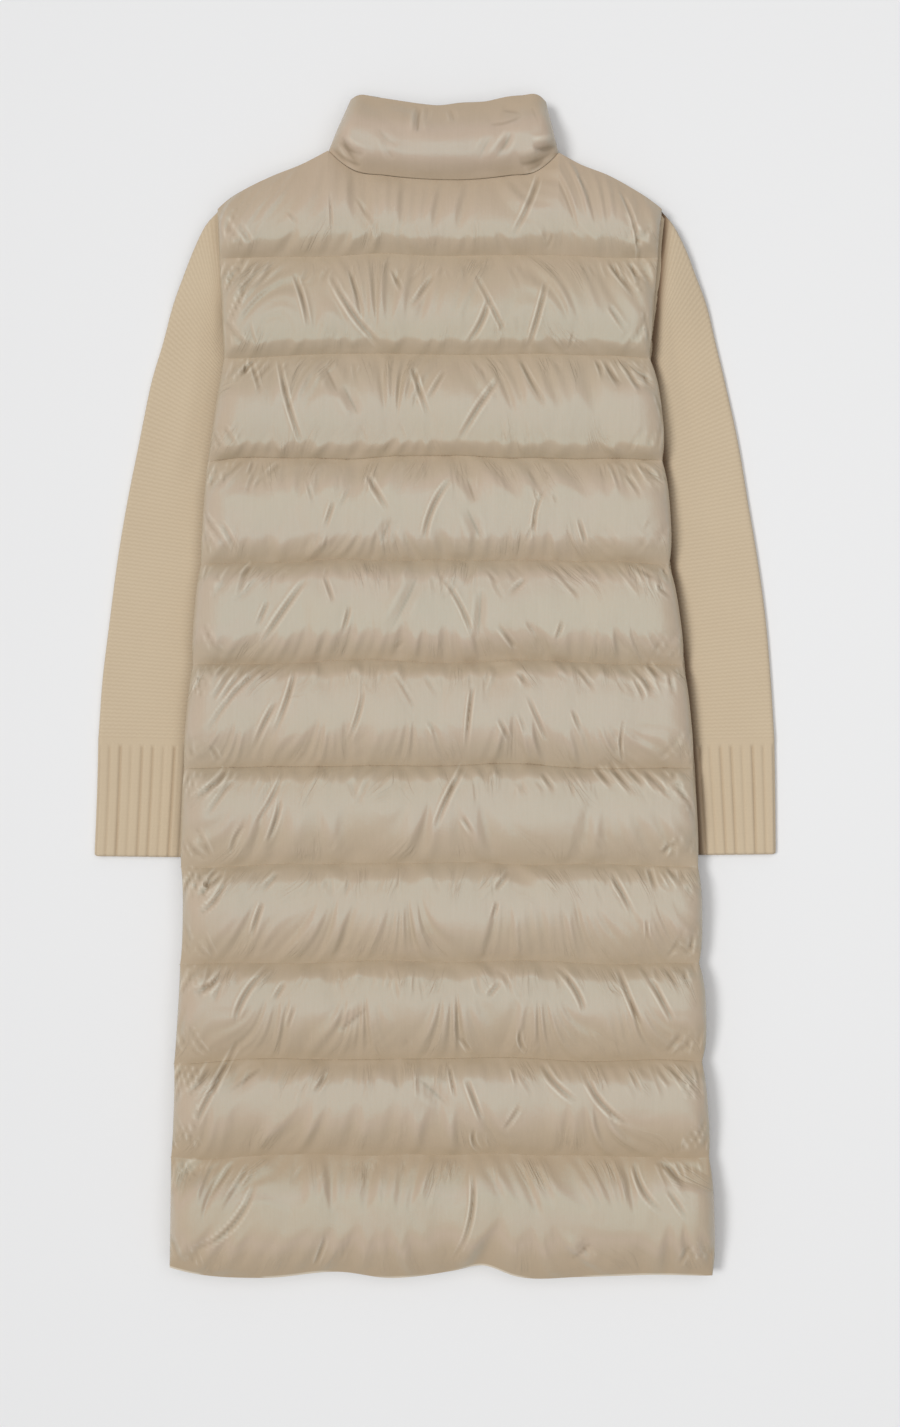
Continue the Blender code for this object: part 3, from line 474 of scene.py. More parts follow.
def waves(places, seed, lengths, count):
    """An uneven curve of mean 0 and size about 1: seeded waves, of lengths between two limits."""
    draw = np.random.default_rng(seed)
    total = np.zeros(np.shape(places))
    for _ in range(count):
        length, phase = draw.uniform(*lengths), draw.uniform(0.0, 2.0 * np.pi)
        total += np.sin(2.0 * np.pi * places / length + phase)
    return total / np.sqrt(count / 2.0) / WAVE_PEAK


def uneven(x, y, seed, lengths, count, squeeze=1.0):
    """The same over a surface: seeded waves in all directions, longer along y where squeeze is over 1."""
    draw = np.random.default_rng(seed)
    total = np.zeros(np.shape(x))
    for _ in range(count):
        length, turn = draw.uniform(*lengths), draw.uniform(0.0, np.pi)
        phase = draw.uniform(0.0, 2.0 * np.pi)
        total += np.sin(2.0 * np.pi / length * (x * np.cos(turn) + y / squeeze * np.sin(turn)) + phase)
    return total / np.sqrt(count / 2.0) / WAVE_PEAK


def uneven_steps(count, crowd):
    """count + 1 shares from 0 to 1, closer together near both ends where crowd is nearer to 1."""
    even = np.arange(count + 1) / count
    return (1.0 - crowd) * even + crowd * (1.0 - np.cos(np.pi * even)) / 2.0


def hump(places, middle, spread):
    """1 at its middle, and falling to 0 on both sides."""
    return np.exp(-((places - middle) ** 2) / spread)


def running_length(points):
    """How far along a row of points each one lies."""
    return np.concatenate(((0.0,), np.cumsum(np.hypot(*np.diff(points, axis=0).T))))


# Making meshes


def add_object(name, data):
    """An object at the origin, in the scene."""
    made = bpy.data.objects.new(name, data)
    bpy.context.scene.collection.objects.link(made)
    return made


def add_mesh(name, points, faces, look, marks=None, sheet_map=None):
    """One named object. marks are named values of its points, sheet_map their place on the flat cloth."""
    mesh = bpy.data.meshes.new(name)
    mesh.from_pydata(np.asarray(points).tolist(), [], faces)
    mesh.materials.append(look)
    mesh.shade_smooth()
    for mark, values in (marks or {}).items():
        layer = mesh.attributes.new(mark, "FLOAT", "POINT")
        layer.data.foreach_set("value", np.asarray(values, np.float32).ravel())
    if sheet_map is not None:
        corners = np.empty(len(mesh.loops), np.int32)
        mesh.loops.foreach_get("vertex_index", corners)
        layer = mesh.uv_layers.new(name="cloth")
        layer.data.foreach_set("uv", np.asarray(sheet_map, np.float32)[corners].ravel())
    mesh.validate()
    return add_object(name, mesh)


def grid_faces(rows, columns, closed=False, looped=False):
    """Quads over rows of points. closed joins each row's end to its start, and looped the last row to the
    first."""
    index = np.arange(rows * columns).reshape(rows, columns)
    if looped:
        index = np.vstack((index, index[:1]))
    if closed:
        index = np.hstack((index, index[:, :1]))
    quads = np.stack((index[:-1, :-1], index[:-1, 1:], index[1:, 1:], index[1:, :-1]), axis=-1)
    return quads.reshape(-1, 4).tolist()


def rim_of(rows, columns):
    """Indices round a grid's edge."""
    index = np.arange(rows * columns).reshape(rows, columns)
    return np.concatenate((index[0], index[1:, -1], index[-1, -2::-1], index[-2:0:-1, 0]))


def turned_outward(piece):
    """Its normals recalculated, as a closed shell needs."""
    work = bmesh.new()
    work.from_mesh(piece.data)
    bmesh.ops.recalc_face_normals(work, faces=work.faces)
    work.to_mesh(piece.data)
    work.free()
    return piece


def add_slab(name, outside, flat_height, look, marks):
    """A padded panel: a shaped outside, a grid of points in rows, over a flat inside."""
    rows, columns, _ = outside.shape
    rim = rim_of(rows, columns)
    points = outside.reshape(-1, 3)
    below = points[rim].copy()
    below[:, 2] = flat_height
    first, count = len(points), len(rim)
    faces = grid_faces(rows, columns)
    for i in range(count):
        j = (i + 1) % count
        faces.append((int(rim[i]), int(rim[j]), first + j, first + i))
    faces.append(tuple(range(first, first + count)))
    marks = {mark: np.concatenate((np.ravel(v), np.ravel(v)[rim])) for mark, v in marks.items()}
    piece = turned_outward(add_mesh(name, np.vstack((points, below)), faces, look, marks))
    piece.data.set_sharp_from_angle(angle=SEAM_ANGLE)
    return piece


# The quilted body

# The back's outside as grids: full says how far each point is padded out, silver how much light is painted
# into its colour, with painted shade where it is low
Quilt = namedtuple("Quilt", "x y z full silver")
BACK_WIDTH = 0.49
COLUMN_EDGE = np.array((0.0, 0.0007, 0.0018, 0.0034, 0.0055, 0.0080, 0.0110, 0.0143, 0.0180, 0.0218, 0.0256))
LINE_WANDER = 0.0011
PUCKER_FAN = 3.2  # how far the puckers lean apart, for each metre of distance from the middle
PUCKER_STRAY = 0.4  # and how far each strays from that


def column_shares(spacing):
    """Shares across the back: close together at the rounded sides, then spaced evenly."""
    edge = COLUMN_EDGE / BACK_WIDTH
    count = int(round((1.0 - 2 * edge[-1]) * BACK_WIDTH / spacing))
    return np.concatenate((edge, np.linspace(edge[-1], 1 - edge[-1], count + 1)[1:-1], 1 - edge[::-1]))


def top_y(x):
    """The back's upper edge: shoulder, neck and shoulder."""
    y = np.where(x < NECK_LEFT[0], smooth_along(LEFT_SHOULDER, x), smooth_along(RIGHT_SHOULDER, x))
    return np.where((x >= NECK_LEFT[0]) & (x <= NECK_RIGHT[0]), smooth_along(BACK_NECK, x), y)


def line_place(number, shares):
    """x and y along a quilting line of the back, at shares of its length."""
    line = QUILT_LINES[number]
    x = line.left + (line.right - line.left) * shares
    if number == 0:
        for corner in (NECK_LEFT[0], NECK_RIGHT[0]):
            x[np.argmin(np.abs(x - corner))] = corner
        return x, top_y(x)
    if number == len(QUILT_LINES) - 1:
        return x, smooth_along(HEM, x)
    wander = LINE_WANDER * waves(x, 40 + number, (0.07, 0.26), 5)
    return x, line.y - LINE_EDGE_DROP * (2.0 * shares - 1.0) ** 2 + wander


def line_end(line, side):
    """x of a quilting line's end on one side: -1 for the left and 1 for the right."""
    return line.left if side < 0 else line.right


def side_edge(channel, share, side):
    """x of the body's side edge, which swells out between the ends of two quilting lines."""
    above, below = QUILT_LINES[channel], QUILT_LINES[channel + 1]
    start, bulge = line_end(above, side), above.swell_left if side < 0 else above.swell_right
    return start + (line_end(below, side) - start) * share + side * bulge * swell(share)


def back_surface(shares, rows):
    """The back's outside before it is creased, at shares across and (channel, share) rows."""
    lines = [line_place(number, shares) for number in range(len(QUILT_LINES))]
    found = []
    for channel, share in rows:
        (x0, y0), (x1, y1) = lines[channel], lines[channel + 1]
        x, y = x0 + (x1 - x0) * share, y0 + (y1 - y0) * share
        left, right = side_edge(channel, share, -1), side_edge(channel, share, 1)
        x = x + (left - x[0]) * (1.0 - shares) ** 3 + (right - x[-1]) * shares**3
        roll = quarter_round(np.minimum(x - left, right - x) / (ARMHOLE_ROLL if channel < 2 else SIDE_ROLL))
        places = (pucker_place(x, y0 - y, 2 * channel, -1.0), pucker_place(x, y - y1, 2 * channel + 1, 1.0))
        jags = [
            1.0 + BAND_JAG * waves(place, 420 + 20 * k + channel, (0.012, 0.055), 9)
            for k, place in enumerate(places)
        ]
        fill = CHANNEL_FILLS[channel]
        filled = channel_full(share, fill, jags)
        full = filled * roll
        z = EDGE_WALL + (STITCHED_WALL - EDGE_WALL) * roll + fill.crown * QUILT_LINES[channel].crown * full
        # The last value is silver: low towards the quilting lines and the side edges, where the material
        # paints shade
        found.append((x, y, BACK_INSIDE + z, full, (filled * roll**0.15) ** 2))
    return Quilt(*np.array(found).transpose(1, 0, 2))


def pucker_place(x, distance, number, side):
    """Where the pucker through a place started on its quilting line: they fan out from both ends of the
    line. side is 1 above the line and -1 below it."""
    return x - (-PUCKER_FAN * side * x + PUCKER_STRAY * waves(x, 300 + number, (0.07, 0.24), 4)) * distance


def quilt_rows(steps):
    """(channel, share) of each row of points, from the shoulders to the hem."""
    rows = [(channel, share) for channel in range(len(QUILT_LINES) - 1) for share in steps[:-1]]
    return rows + [(len(QUILT_LINES) - 2, 1.0)]


def crease_relief(crease, x, y, peak):
    """How far one crease presses the cloth in, and its painted lines alone: painted shade along the valley,
    above 0, and a painted highlight on each of the ridges beside it, below 0. All fade to both its ends."""
    run = np.array((crease.x1 - crease.x0, crease.y1 - crease.y0)) * MM
    length = np.hypot(*run)
    share = ((x - crease.x0 * MM) * run[0] + (y - crease.y0 * MM) * run[1]) / length**2
    aside = ((x - crease.x0 * MM) * run[1] - (y - crease.y0 * MM) * run[0]) / length
    share = np.clip(share, 0.0, 1.0)
    slant = 1.0 + abs(run[0]) / length
    across = (aside - 4.0 * crease.bow * MM * share * (1.0 - share)) / (slant * crease.width * MM)
    rise, fall = 0.9, 0.9 * (1.0 - peak) / peak
    taper = share**rise * (1.0 - share) ** fall / (peak**rise * (1.0 - peak) ** fall)
    valley = np.exp(-np.abs(across) ** 1.4) + 0.30 * np.exp(-((across / 4.5) ** 2))
    ridges, shine = (sum(height * hump(across, *at) for height, *at in sides) for sides in (RIDGES, SHINES))
    # line is the painted shade along the valley, and shine the painted highlight on the ridges
    line = np.exp(-np.abs(across * crease.width / FOLD_LINE) ** 1.5)
    shine *= min(1.0, SHARP_WIDTH / crease.width) ** 1.5 / slant**0.4
    return crease.depth * MM * taper * (valley - ridges), crease.depth * MM * taper * (line - shine)


def add_creases(relief, folds, x, y, creases, seed):
    """Adds each crease to relief, and its painted shade and highlight lines to folds, on the rows that it
    reaches.
    """
    draw = np.random.default_rng(seed)
    top, bottom = y.max(axis=1), y.min(axis=1)
    for crease in creases:
        peak = draw.uniform(0.28, 0.62)
        reach = (4.0 * crease.width + abs(crease.bow)) * MM
        low, high = sorted((crease.y0 * MM, crease.y1 * MM))
        rows = np.nonzero((top > low - reach) & (bottom < high + reach))[0]
        if not len(rows):
            continue
        part = slice(rows[0], rows[-1] + 1)
        left, right = sorted((crease.x0 * MM, crease.x1 * MM))
        near = (x[part].max(axis=0) > left - reach) & (x[part].min(axis=0) < right + reach)
        columns = np.nonzero(near)[0]
        if not len(columns):
            continue
        span = slice(columns[0], columns[-1] + 1)
        # valley holds the crease's painted shade and highlight lines
        pressed, valley = crease_relief(crease, x[part, span], y[part, span], peak)
        relief[part, span] += pressed
        folds[part, span] += valley


def side_creases(count, seed):
    """Seeded short soft folds on the slopes beside the quilting lines. Neighbours lean the same way. upward
    is 1 for a fold that runs up from its line, and -1 for one that runs down."""
    draw = np.random.default_rng(seed)
    found = []
    for _ in range(count):
        number = int(draw.integers(1, len(QUILT_LINES)))
        line = QUILT_LINES[number]
        x = draw.uniform(line.left, line.right) / MM
        upward = 1.0 if number == len(QUILT_LINES) - 1 else draw.choice((-1.0, 1.0))
        lean = 0.35 * waves(np.array(x), 60 + number, (60.0, 190.0), 4) + draw.normal(0.0, 0.2)
        lean -= 0.0035 * upward * x
        length = draw.uniform(10.0, 34.0)
        y = line.y / MM + upward * draw.uniform(5.0, 15.0)
        bow, width = draw.normal(0.0, 1.2), draw.uniform(1.1, 2.2)
        depth = draw.uniform(0.10, 0.70) * (0.55 if upward > 0 else 1.0)
        found.append(Crease(x, y, x + lean * length, y + upward * length, bow, width, depth))
    return found


def side_bunches(seed):
    """Seeded deeper folds that fan out towards both side edges from just inside the ends of each line: six
    below the line, where upward is -1, and four above it."""
    draw = np.random.default_rng(seed)
    last = len(QUILT_LINES) - 1
    bunches = [
        (QUILT_LINES[number], side, upward)
        for number in range(1, last + 1) for side in (-1.0, 1.0) for upward in (-1.0, 1.0)
        if upward > 0 or number < last
    ]
    found = []
    for line, side, upward in bunches:
        edge = line_end(line, side) / MM
        for k in range(6 if upward < 0 else 4):
            inward = 7.0 + 9.0 * k + draw.uniform(-3.0, 4.0)
            x = edge - side * inward
            y = line.y / MM + upward * draw.uniform(2.0, 6.0)
            length = draw.uniform(16.0, 40.0)
            out = side * (0.25 + 0.55 * draw.random()) * length * (0.6 if inward < 14.0 else 1.0)
            x1 = side * min(side * (x + out), side * edge - 2.0 - 0.8 * k)
            bow, width = draw.normal(0.0, 1.5), draw.uniform(1.3, 1.9)
            depth = draw.uniform(0.7, 2.0) * (1.0 if upward < 0 else 0.65)
            found.append(Crease(x, y, x1, y + upward * length, bow, width, depth))
    return found


def gathers(x, distance, number, side):
    """How far the cloth is gathered in beside a quilting line, by uneven ripples that are sharp in their
    valleys, where each one started on the line, and how strongly it is gathered there."""
    place = pucker_place(x, distance, number, side)
    turns = place / GATHER_PITCH + 0.55 * waves(place, 320 + number, (0.018, 0.060), 5)
    ripple = 0.62 - np.abs(np.sin(np.pi * turns)) ** 0.75
    change = GATHER_STRENGTH_CHANGE * waves(place, 360 + number, (0.025, 0.110), 6)
    strength = np.clip(GATHER_STRENGTH + change, 0.04, 1.2)
    strength = strength * (YOKE_TOP_SHARE if number == 0 else GATHERED_ABOVE_SHARE if side > 0 else 1.0)
    reach = GATHER_REACH + GATHER_REACH_CHANGE * waves(x, 380 + number, (0.015, 0.050), 4)
    away = np.clip(distance / reach, 0.0, 9.0)
    gathered = strength * away**2.2 * np.exp(2.2 * (1.0 - away))
    return gathered * GATHER_DEPTH * ripple, place, gathered


def cubic_weights(wanted, given):
    """Matrix that carries values at the given rising places to the wanted ones, along a smooth curve."""
    i = np.clip(np.searchsorted(given, wanted, side="right") - 1, 0, len(given) - 2)
    t = np.clip((wanted - given[i]) / (given[i + 1] - given[i]), 0.0, 1.0)
    parts = (
        (-t + 2 * t**2 - t**3) / 2, (2 - 5 * t**2 + 3 * t**3) / 2,
        (t + 4 * t**2 - 3 * t**3) / 2, (t**3 - t**2) / 2,
    )
    weights = np.zeros((len(wanted), len(given)))
    for step, part in enumerate(parts):
        np.add.at(weights, (np.arange(len(wanted)), np.clip(i + step - 1, 0, len(given) - 1)), part)
    return weights


def settle(points, held, ease, pressure, frames, furthest):
    """Blender's cloth solver puffs up a grid of points that is held where it is stitched; ease is how much
    larger the cloth is cut. The moves are capped at furthest."""
    rows, columns, _ = points.shape
    mesh = bpy.data.meshes.new("settling")
    mesh.from_pydata(points.reshape(-1, 3).tolist(), [], grid_faces(rows, columns))
    if mesh.polygons[0].normal.z < 0:
        mesh.flip_normals()
    cloth = add_object("settling", mesh)
    cloth.vertex_groups.new(name="held").add(np.nonzero(held.ravel())[0].tolist(), 1.0, "REPLACE")
    modifier = cloth.modifiers.new("cloth", "CLOTH")
    settings = modifier.settings
    settings.quality = 6
    settings.mass = 0.08
    settings.tension_stiffness = settings.compression_stiffness = 12.0
    settings.shear_stiffness = 4.0
    settings.bending_stiffness = 0.3
    settings.tension_damping = settings.compression_damping = 8.0
    settings.shear_damping = 4.0
    settings.vertex_group_mass = "held"
    settings.use_pressure = True
    settings.uniform_pressure_force = pressure
    settings.shrink_min = -ease
    settings.effector_weights.gravity = 0.0
    modifier.collision_settings.use_collision = False
    scene = bpy.context.scene
    for number in range(1, frames + 1):
        scene.frame_set(number)
    shown = cloth.evaluated_get(bpy.context.evaluated_depsgraph_get())
    settled = np.empty(rows * columns * 3)
    shown.data.vertices.foreach_get("co", settled)
    scene.frame_set(1)
    bpy.data.objects.remove(cloth)
    bpy.data.meshes.remove(mesh)
    moved = settled.reshape(points.shape) - points
    size = np.linalg.norm(moved, axis=2, keepdims=True)
    return moved * np.minimum(1.0, furthest / np.maximum(size, 1e-9))


def puffed(shares, steps):
    """How far the filling moves the back's outside, at shares across and steps in each channel."""
    coarse_shares = np.linspace(0.0, 1.0, COARSE_COLUMNS)
    coarse_steps = np.linspace(0.0, 1.0, COARSE_STEPS)
    coarse = back_surface(coarse_shares, quilt_rows(coarse_steps))
    points = np.stack((coarse.x, coarse.y, coarse.z), axis=-1)
    held = np.zeros(coarse.x.shape, bool)
    held[:: COARSE_STEPS - 1] = True
    held[:, (0, -1)] = True
    moved = settle(points, held, ease=0.02, pressure=15.0, frames=24, furthest=0.006)
    for axis in (0, 1):
        moved = (np.roll(moved, 1, axis) + 2.0 * moved + np.roll(moved, -1, axis)) / 4.0
    moved[held] = 0.0
    moved *= PUFF_SHARE
    across = cubic_weights(shares, coarse_shares)
    up = cubic_weights(steps, coarse_steps)
    rows = []
    for channel in range(len(QUILT_LINES) - 1):
        first = channel * (COARSE_STEPS - 1)
        found = np.einsum("rk,kcd,nc->rnd", up, moved[first : first + COARSE_STEPS], across)
        rows.append(found[:-1])
    rows.append(found[-1:])
    return np.vstack(rows)


def make_back(look):
    """The back's outside, in pieces that meet at quilting lines, and the places of those lines."""
    shares = column_shares(BACK_SPACING)
    steps = uneven_steps(BACK_STEPS, 0.6)
    quilt = back_surface(shares, quilt_rows(steps))
    outside = np.stack((quilt.x, quilt.y, quilt.z), axis=-1)
    moves = puffed(shares, steps)
    moves[:BACK_STEPS] *= YOKE_PUFF_SHARE
    outside = outside + moves
    x, y = quilt.x, quilt.y
    relief, folds, gathered, lean = (np.zeros(x.shape) for _ in range(4))
    add_creases(relief, folds, x, y, CREASES, seed=3)
    add_creases(relief, folds, x, y, side_creases(count=760, seed=11), seed=5)
    add_creases(relief, folds, x, y, side_bunches(seed=31), seed=6)
    for channel in range(len(QUILT_LINES) - 1):
        rows = slice(channel * BACK_STEPS, (channel + 1) * BACK_STEPS + (channel == len(QUILT_LINES) - 2))
        from_above = y[channel * BACK_STEPS] - y[rows]
        from_below = y[rows] - y[(channel + 1) * BACK_STEPS]
        upper = gathers(x[rows], from_above, 2 * channel, -1.0)
        lower = gathers(x[rows], from_below, 2 * channel + 1, 1.0)
        relief[rows] += upper[0] + lower[0]
        nearer = from_above < from_below
        lean[rows] = np.where(nearer, upper[1], lower[1])
        away = smoothstep(np.abs(from_above - from_below) / (from_above + from_below) / 0.25)
        gathered[rows] = np.where(nearer, upper[2], lower[2]) * away
    # folds carries painted shade in the creases' valleys and painted highlight on their ridges
    folds = np.maximum(folds, -BRIGHTEST_FOLD)
    # painted highlight along the hem's turned edge
    folds[-2:] -= HEM_SHINE * np.clip(0.5 + 1.6 * waves(x[-2:], 90, (0.05, 0.2), 4), 0.0, 1.0)
    clumps = CLUMP_HEIGHT * uneven(x, y, 7, (0.045, 0.13), 14, squeeze=1.6)
    outside[..., 2] += clumps * smoothstep(quilt.full / 0.35) - relief * smoothstep(quilt.full / 0.30)
    outside[..., 2] = np.maximum(outside[..., 2], BACK_INSIDE + THINNEST_WALL)
    pieces = []
    for name, first, last in BACK_PIECES:
        rows = slice(first * BACK_STEPS, last * BACK_STEPS + 1)
        # The full mark carries silver, from which the material paints shade
        marks = {"full": quilt.silver, "fold": folds / MM, "lean": lean, "gathered": gathered}
        marks = {mark: values[rows] for mark, values in marks.items()}
        pieces.append(add_slab(name, outside[rows], BACK_INSIDE, look, marks))
    return pieces, outside[BACK_STEPS:-1:BACK_STEPS, ::3]


# The fronts, underneath


FRONT_WIDTH = 0.245
FRONT_EDGE = np.array((0.0, 0.0008, 0.002, 0.004, 0.0065, 0.0095, 0.013, 0.017))


def front_neck(x, side):
    """y of a front's neck edge, which dips from the shoulder to the centre front."""
    corner_x, corner_y = NECK_LEFT if side < 0 else NECK_RIGHT
    out = np.clip((x - CENTRE_FRONT_X) / (corner_x - CENTRE_FRONT_X), 0.0, 1.0)
    return FRONT_NECK_Y + (corner_y - FRONT_NECK_Y) * out**2.2


def front_line(number, side, shares):
    """x and y along a quilting line of a front, from its side edge to the centre front."""
    line = QUILT_LINES[number]
    edge = line_end(line, side)
    x = edge + (CENTRE_FRONT_X + side * CLOSURE_WIDTH / 2.0 - edge) * shares
    if number == 0:
        neck_x = NECK_LEFT[0] if side < 0 else NECK_RIGHT[0]
        x[np.argmin(np.abs(x - neck_x))] = neck_x
        shoulder = LEFT_SHOULDER if side < 0 else RIGHT_SHOULDER
        return x, np.where(side * (x - neck_x) >= 0.0, smooth_along(shoulder, x), front_neck(x, side))
    if number == len(QUILT_LINES) - 1:
        return x, smooth_along(HEM, x)
    return x, line.y - LINE_EDGE_DROP * ((x - CENTRE_FRONT_X) / (edge - CENTRE_FRONT_X)) ** 2


def front_outside(inward, y, top, hem, share):
    """Height of a front's outside: pressed flat on the floor, and lifted along the sides, top and hem."""
    below = smoothstep((CUFF_END_Y - LIFT_CHANGE / 2.0 - y) / LIFT_CHANGE)
    lift = SIDE_LIFT + (BELOW_CUFF_LIFT - SIDE_LIFT) * below
    reach = SIDE_LIFT_REACH + (BELOW_CUFF_REACH - SIDE_LIFT_REACH) * below
    side = lift * (1.0 - smoothstep((inward - reach) / LIFT_FADE))
    lip = (SIDE_LIP - lift) * (1.0 - quarter_round(inward / LIP_ROLL))
    pinch = SIDE_PINCH * (1.0 - swell(share)) * (1.0 - smoothstep(inward / PINCH_FADE))
    ends = np.maximum(
        TOP_LIFT * (1.0 - smoothstep((top - y) / TOP_LIFT_FADE)),
        HEM_LIFT * (1.0 - smoothstep((y - hem) / HEM_LIFT_FADE)),
    )
    groove = GROOVE_DEPTH * (1.0 - quarter_round(np.minimum(share, 1.0 - share) / GROOVE_SHARE))
    return np.minimum(np.maximum(np.maximum(side + lip + pinch, ends), groove), FRONT_INSIDE - EDGE_WALL)


def make_front(name, side, look):
    """One front, and the places of its quilting lines."""
    inward = FRONT_EDGE / FRONT_WIDTH
    shares = np.concatenate((inward, np.linspace(inward[-1], 1.0, FRONT_COLUMNS)[1:]))
    lines = [front_line(number, side, shares) for number in range(len(QUILT_LINES))]
    rows, full = [], []
    for channel, share in quilt_rows(uneven_steps(FRONT_STEPS, 0.6)):
        (x0, y0), (x1, y1) = lines[channel], lines[channel + 1]
        x, y = x0 + (x1 - x0) * share, y0 + (y1 - y0) * share
        edge = side_edge(channel, share, side)
        out = (x - CENTRE_FRONT_X) / (x[0] - CENTRE_FRONT_X)
        x = x + (edge - x[0]) * out**3
        z = front_outside(np.abs(edge - x), y, lines[0][1], lines[-1][1], share)
        rows.append(np.column_stack((x, y, z)))
        # The full mark sets the material's painted shade towards the quilting lines
        full.append(np.full(len(x), float(swell(share))))
    rows = np.array(rows)
    piece = add_slab(name, rows, FRONT_INSIDE, look, {"full": np.array(full)})
    return piece, rows[FRONT_STEPS:-1:FRONT_STEPS]


# The collar


# One wall of the collar: its columns' x at the seam, its two ends there and at the top, and its side of the
# front: 0 for the back of the collar, which lies on top
CollarWall = namedtuple("CollarWall", "seam_x seam_ends top_ends side")
COLLAR_SPACING = 0.0016
COLLAR_FRONT_SPACING = 0.0030
COLLAR_LUMPS = 0.0007


def collar_front_top(x):
    """y of the top of the collar's lower wall, which dips to the centre front."""
    corner = np.where(x < CENTRE_FRONT_X, COLLAR_TOP[0].x, COLLAR_TOP[-1].x)
    corner_y = np.where(x < CENTRE_FRONT_X, COLLAR_TOP[0].y, COLLAR_TOP[-1].y)
    out = np.clip((x - CENTRE_FRONT_X) / (corner - CENTRE_FRONT_X), 0.0, 1.0)
    return COLLAR_FRONT_TOP_Y + (corner_y - COLLAR_FRONT_TOP_Y) * out**2


def even_and_near_ends(low, high, spacing):
    """Places from low to high, spaced evenly but for more of them at both ends."""
    ends = np.array((0.0, 0.0006, 0.0015, 0.0030, 0.0050, 0.0075, 0.0105))
    count = int((high - low - 2 * ends[-1]) / spacing)
    even = np.linspace(low + ends[-1], high - ends[-1], count + 1)[1:-1]
    return np.concatenate((low + ends, even, high - ends[::-1]))


def collar_row(wall, share, filled, left, right):
    """A row of points of one wall, at a share of the collar's height: outside, inside, full, which sets
    painted shade, and fold, the creases' painted shade and highlight lines.
    """
    across = (wall.seam_x - wall.seam_ends[0]) / (wall.seam_ends[1] - wall.seam_ends[0])
    top_x = wall.top_ends[0] + (wall.top_ends[1] - wall.top_ends[0]) * across
    seam_y = front_neck(wall.seam_x, wall.side) if wall.side else top_y(wall.seam_x)
    edge_y = collar_front_top(top_x) if wall.side else smooth_along(COLLAR_TOP, top_x)
    x = wall.seam_x + (top_x - wall.seam_x) * share
    y = seam_y + SEAM_GAP + (edge_y - seam_y - SEAM_GAP) * share
    roll = quarter_round(np.minimum(x - left, right - x) / COLLAR_SIDE_ROLL)
    middle = (left + right) / 2.0
    inner_x = middle + (x - middle) * (1.0 - 2.0 * COLLAR_HOLLOW_INSET / (right - left))
    relief, folds = np.zeros((1, len(x))), np.zeros((1, len(x)))
    if wall.side:
        inner_z = COLLAR_FRONT_INSIDE
        z = inner_z - (COLLAR_STITCHED_WALL + (inner_z - COLLAR_STITCHED_WALL) * filled) * roll
        at_lip = np.abs(x - CENTRE_FRONT_X) < CLOSURE_WIDTH / 2.0 + SEAM_GAP
        inner_x = np.where(at_lip, x, inner_x)
    else:
        inner_z = BACK_INSIDE
        add_creases(relief, folds, x[None], y[None], COLLAR_CREASES, seed=9)
        lumps = COLLAR_LUMPS * uneven(x, y, 17, (0.03, 0.08), 10) * smoothstep(filled * roll / 0.4)
        z = inner_z + (COLLAR_STITCHED_WALL + COLLAR_CROWN * filled) * roll + lumps
        z = z - relief[0] * smoothstep(roll / 0.3)
        z = np.maximum(z, inner_z + THINNEST_WALL * (roll > 0.0))
    inside = np.column_stack((inner_x, y, np.full(len(x), inner_z)))
    return np.column_stack((x, y, z)), inside, (filled * roll) ** 2, folds[0] / MM


def make_collar(look):
    """The stand collar: one wall round the neck, folded flat, and open at the centre front."""
    lips = [CENTRE_FRONT_X + side * CLOSURE_WIDTH / 2.0 for side in (-1, 1)]
    corners = ((NECK_LEFT[0], COLLAR_TOP[0].x), (NECK_RIGHT[0], COLLAR_TOP[-1].x))
    (left_seam, left_top), (right_seam, right_top) = corners
    back_x = even_and_near_ends(left_seam, right_seam, COLLAR_SPACING)
    left_x = even_and_near_ends(left_seam, lips[0], COLLAR_FRONT_SPACING)
    right_x = even_and_near_ends(lips[1], right_seam, COLLAR_FRONT_SPACING)
    walls = (
        CollarWall(left_x[::-1][:-1], (left_seam, lips[0]), (left_top, lips[0]), -1),
        CollarWall(back_x, (left_seam, right_seam), (left_top, right_top), 0),
        CollarWall(right_x[::-1][1:], (lips[1], right_seam), (lips[1], right_top), 1),
    )
    low, high = COLLAR_FULLNESS
    sections, full, fold = [], [], []
    for share in uneven_steps(COLLAR_STEPS, 0.5):
        left, right = (seam + (top - seam) * share for seam, top in corners)
        rise = 1.0 - (1.0 - min(share / COLLAR_SEAM_RISE, 1.0)) ** 2
        fall = 1.0 - (1.0 - min((1.0 - share) / COLLAR_TOP_FALL, 1.0)) ** 1.8
        filled = np.sin(np.pi * (low + (high - low) * share)) ** 0.5 * (rise * fall)
        found = [collar_row(wall, share, filled, left, right) for wall in walls]
        outside, inside, full_row, fold_row = (np.concatenate(parts) for parts in zip(*found))
        sections.append(np.vstack((outside, inside[::-1])))
        full.append(full_row)
        fold.append(fold_row)
    sections = np.array(sections)
    rows, around, _ = sections.shape
    half = around // 2
    faces = grid_faces(rows, around, closed=True)
    for start in (0, (rows - 1) * around):
        for i in range(half - 1):
            faces.append((start + i, start + i + 1, start + around - 2 - i, start + around - 1 - i))
    marks = {
        mark: np.hstack((np.array(values), np.zeros((rows, half)))).ravel()
        for mark, values in (("full", full), ("fold", fold))
    }
    return turned_outward(add_mesh("stand_collar", sections.reshape(-1, 3), faces, look, marks))


# Growing nodes


def fill_inputs(tree, node, values):
    """Links each named input of a node to a socket, or sets it to a plain value."""
    for name, value in (values or {}).items():
        value = getattr(value, "socket", value)
        if isinstance(value, bpy.types.NodeSocket):
            tree.links.new(value, node.inputs[name])
        else:
            node.inputs[name].default_value = value


# What is sewn on: made by Geometry Nodes


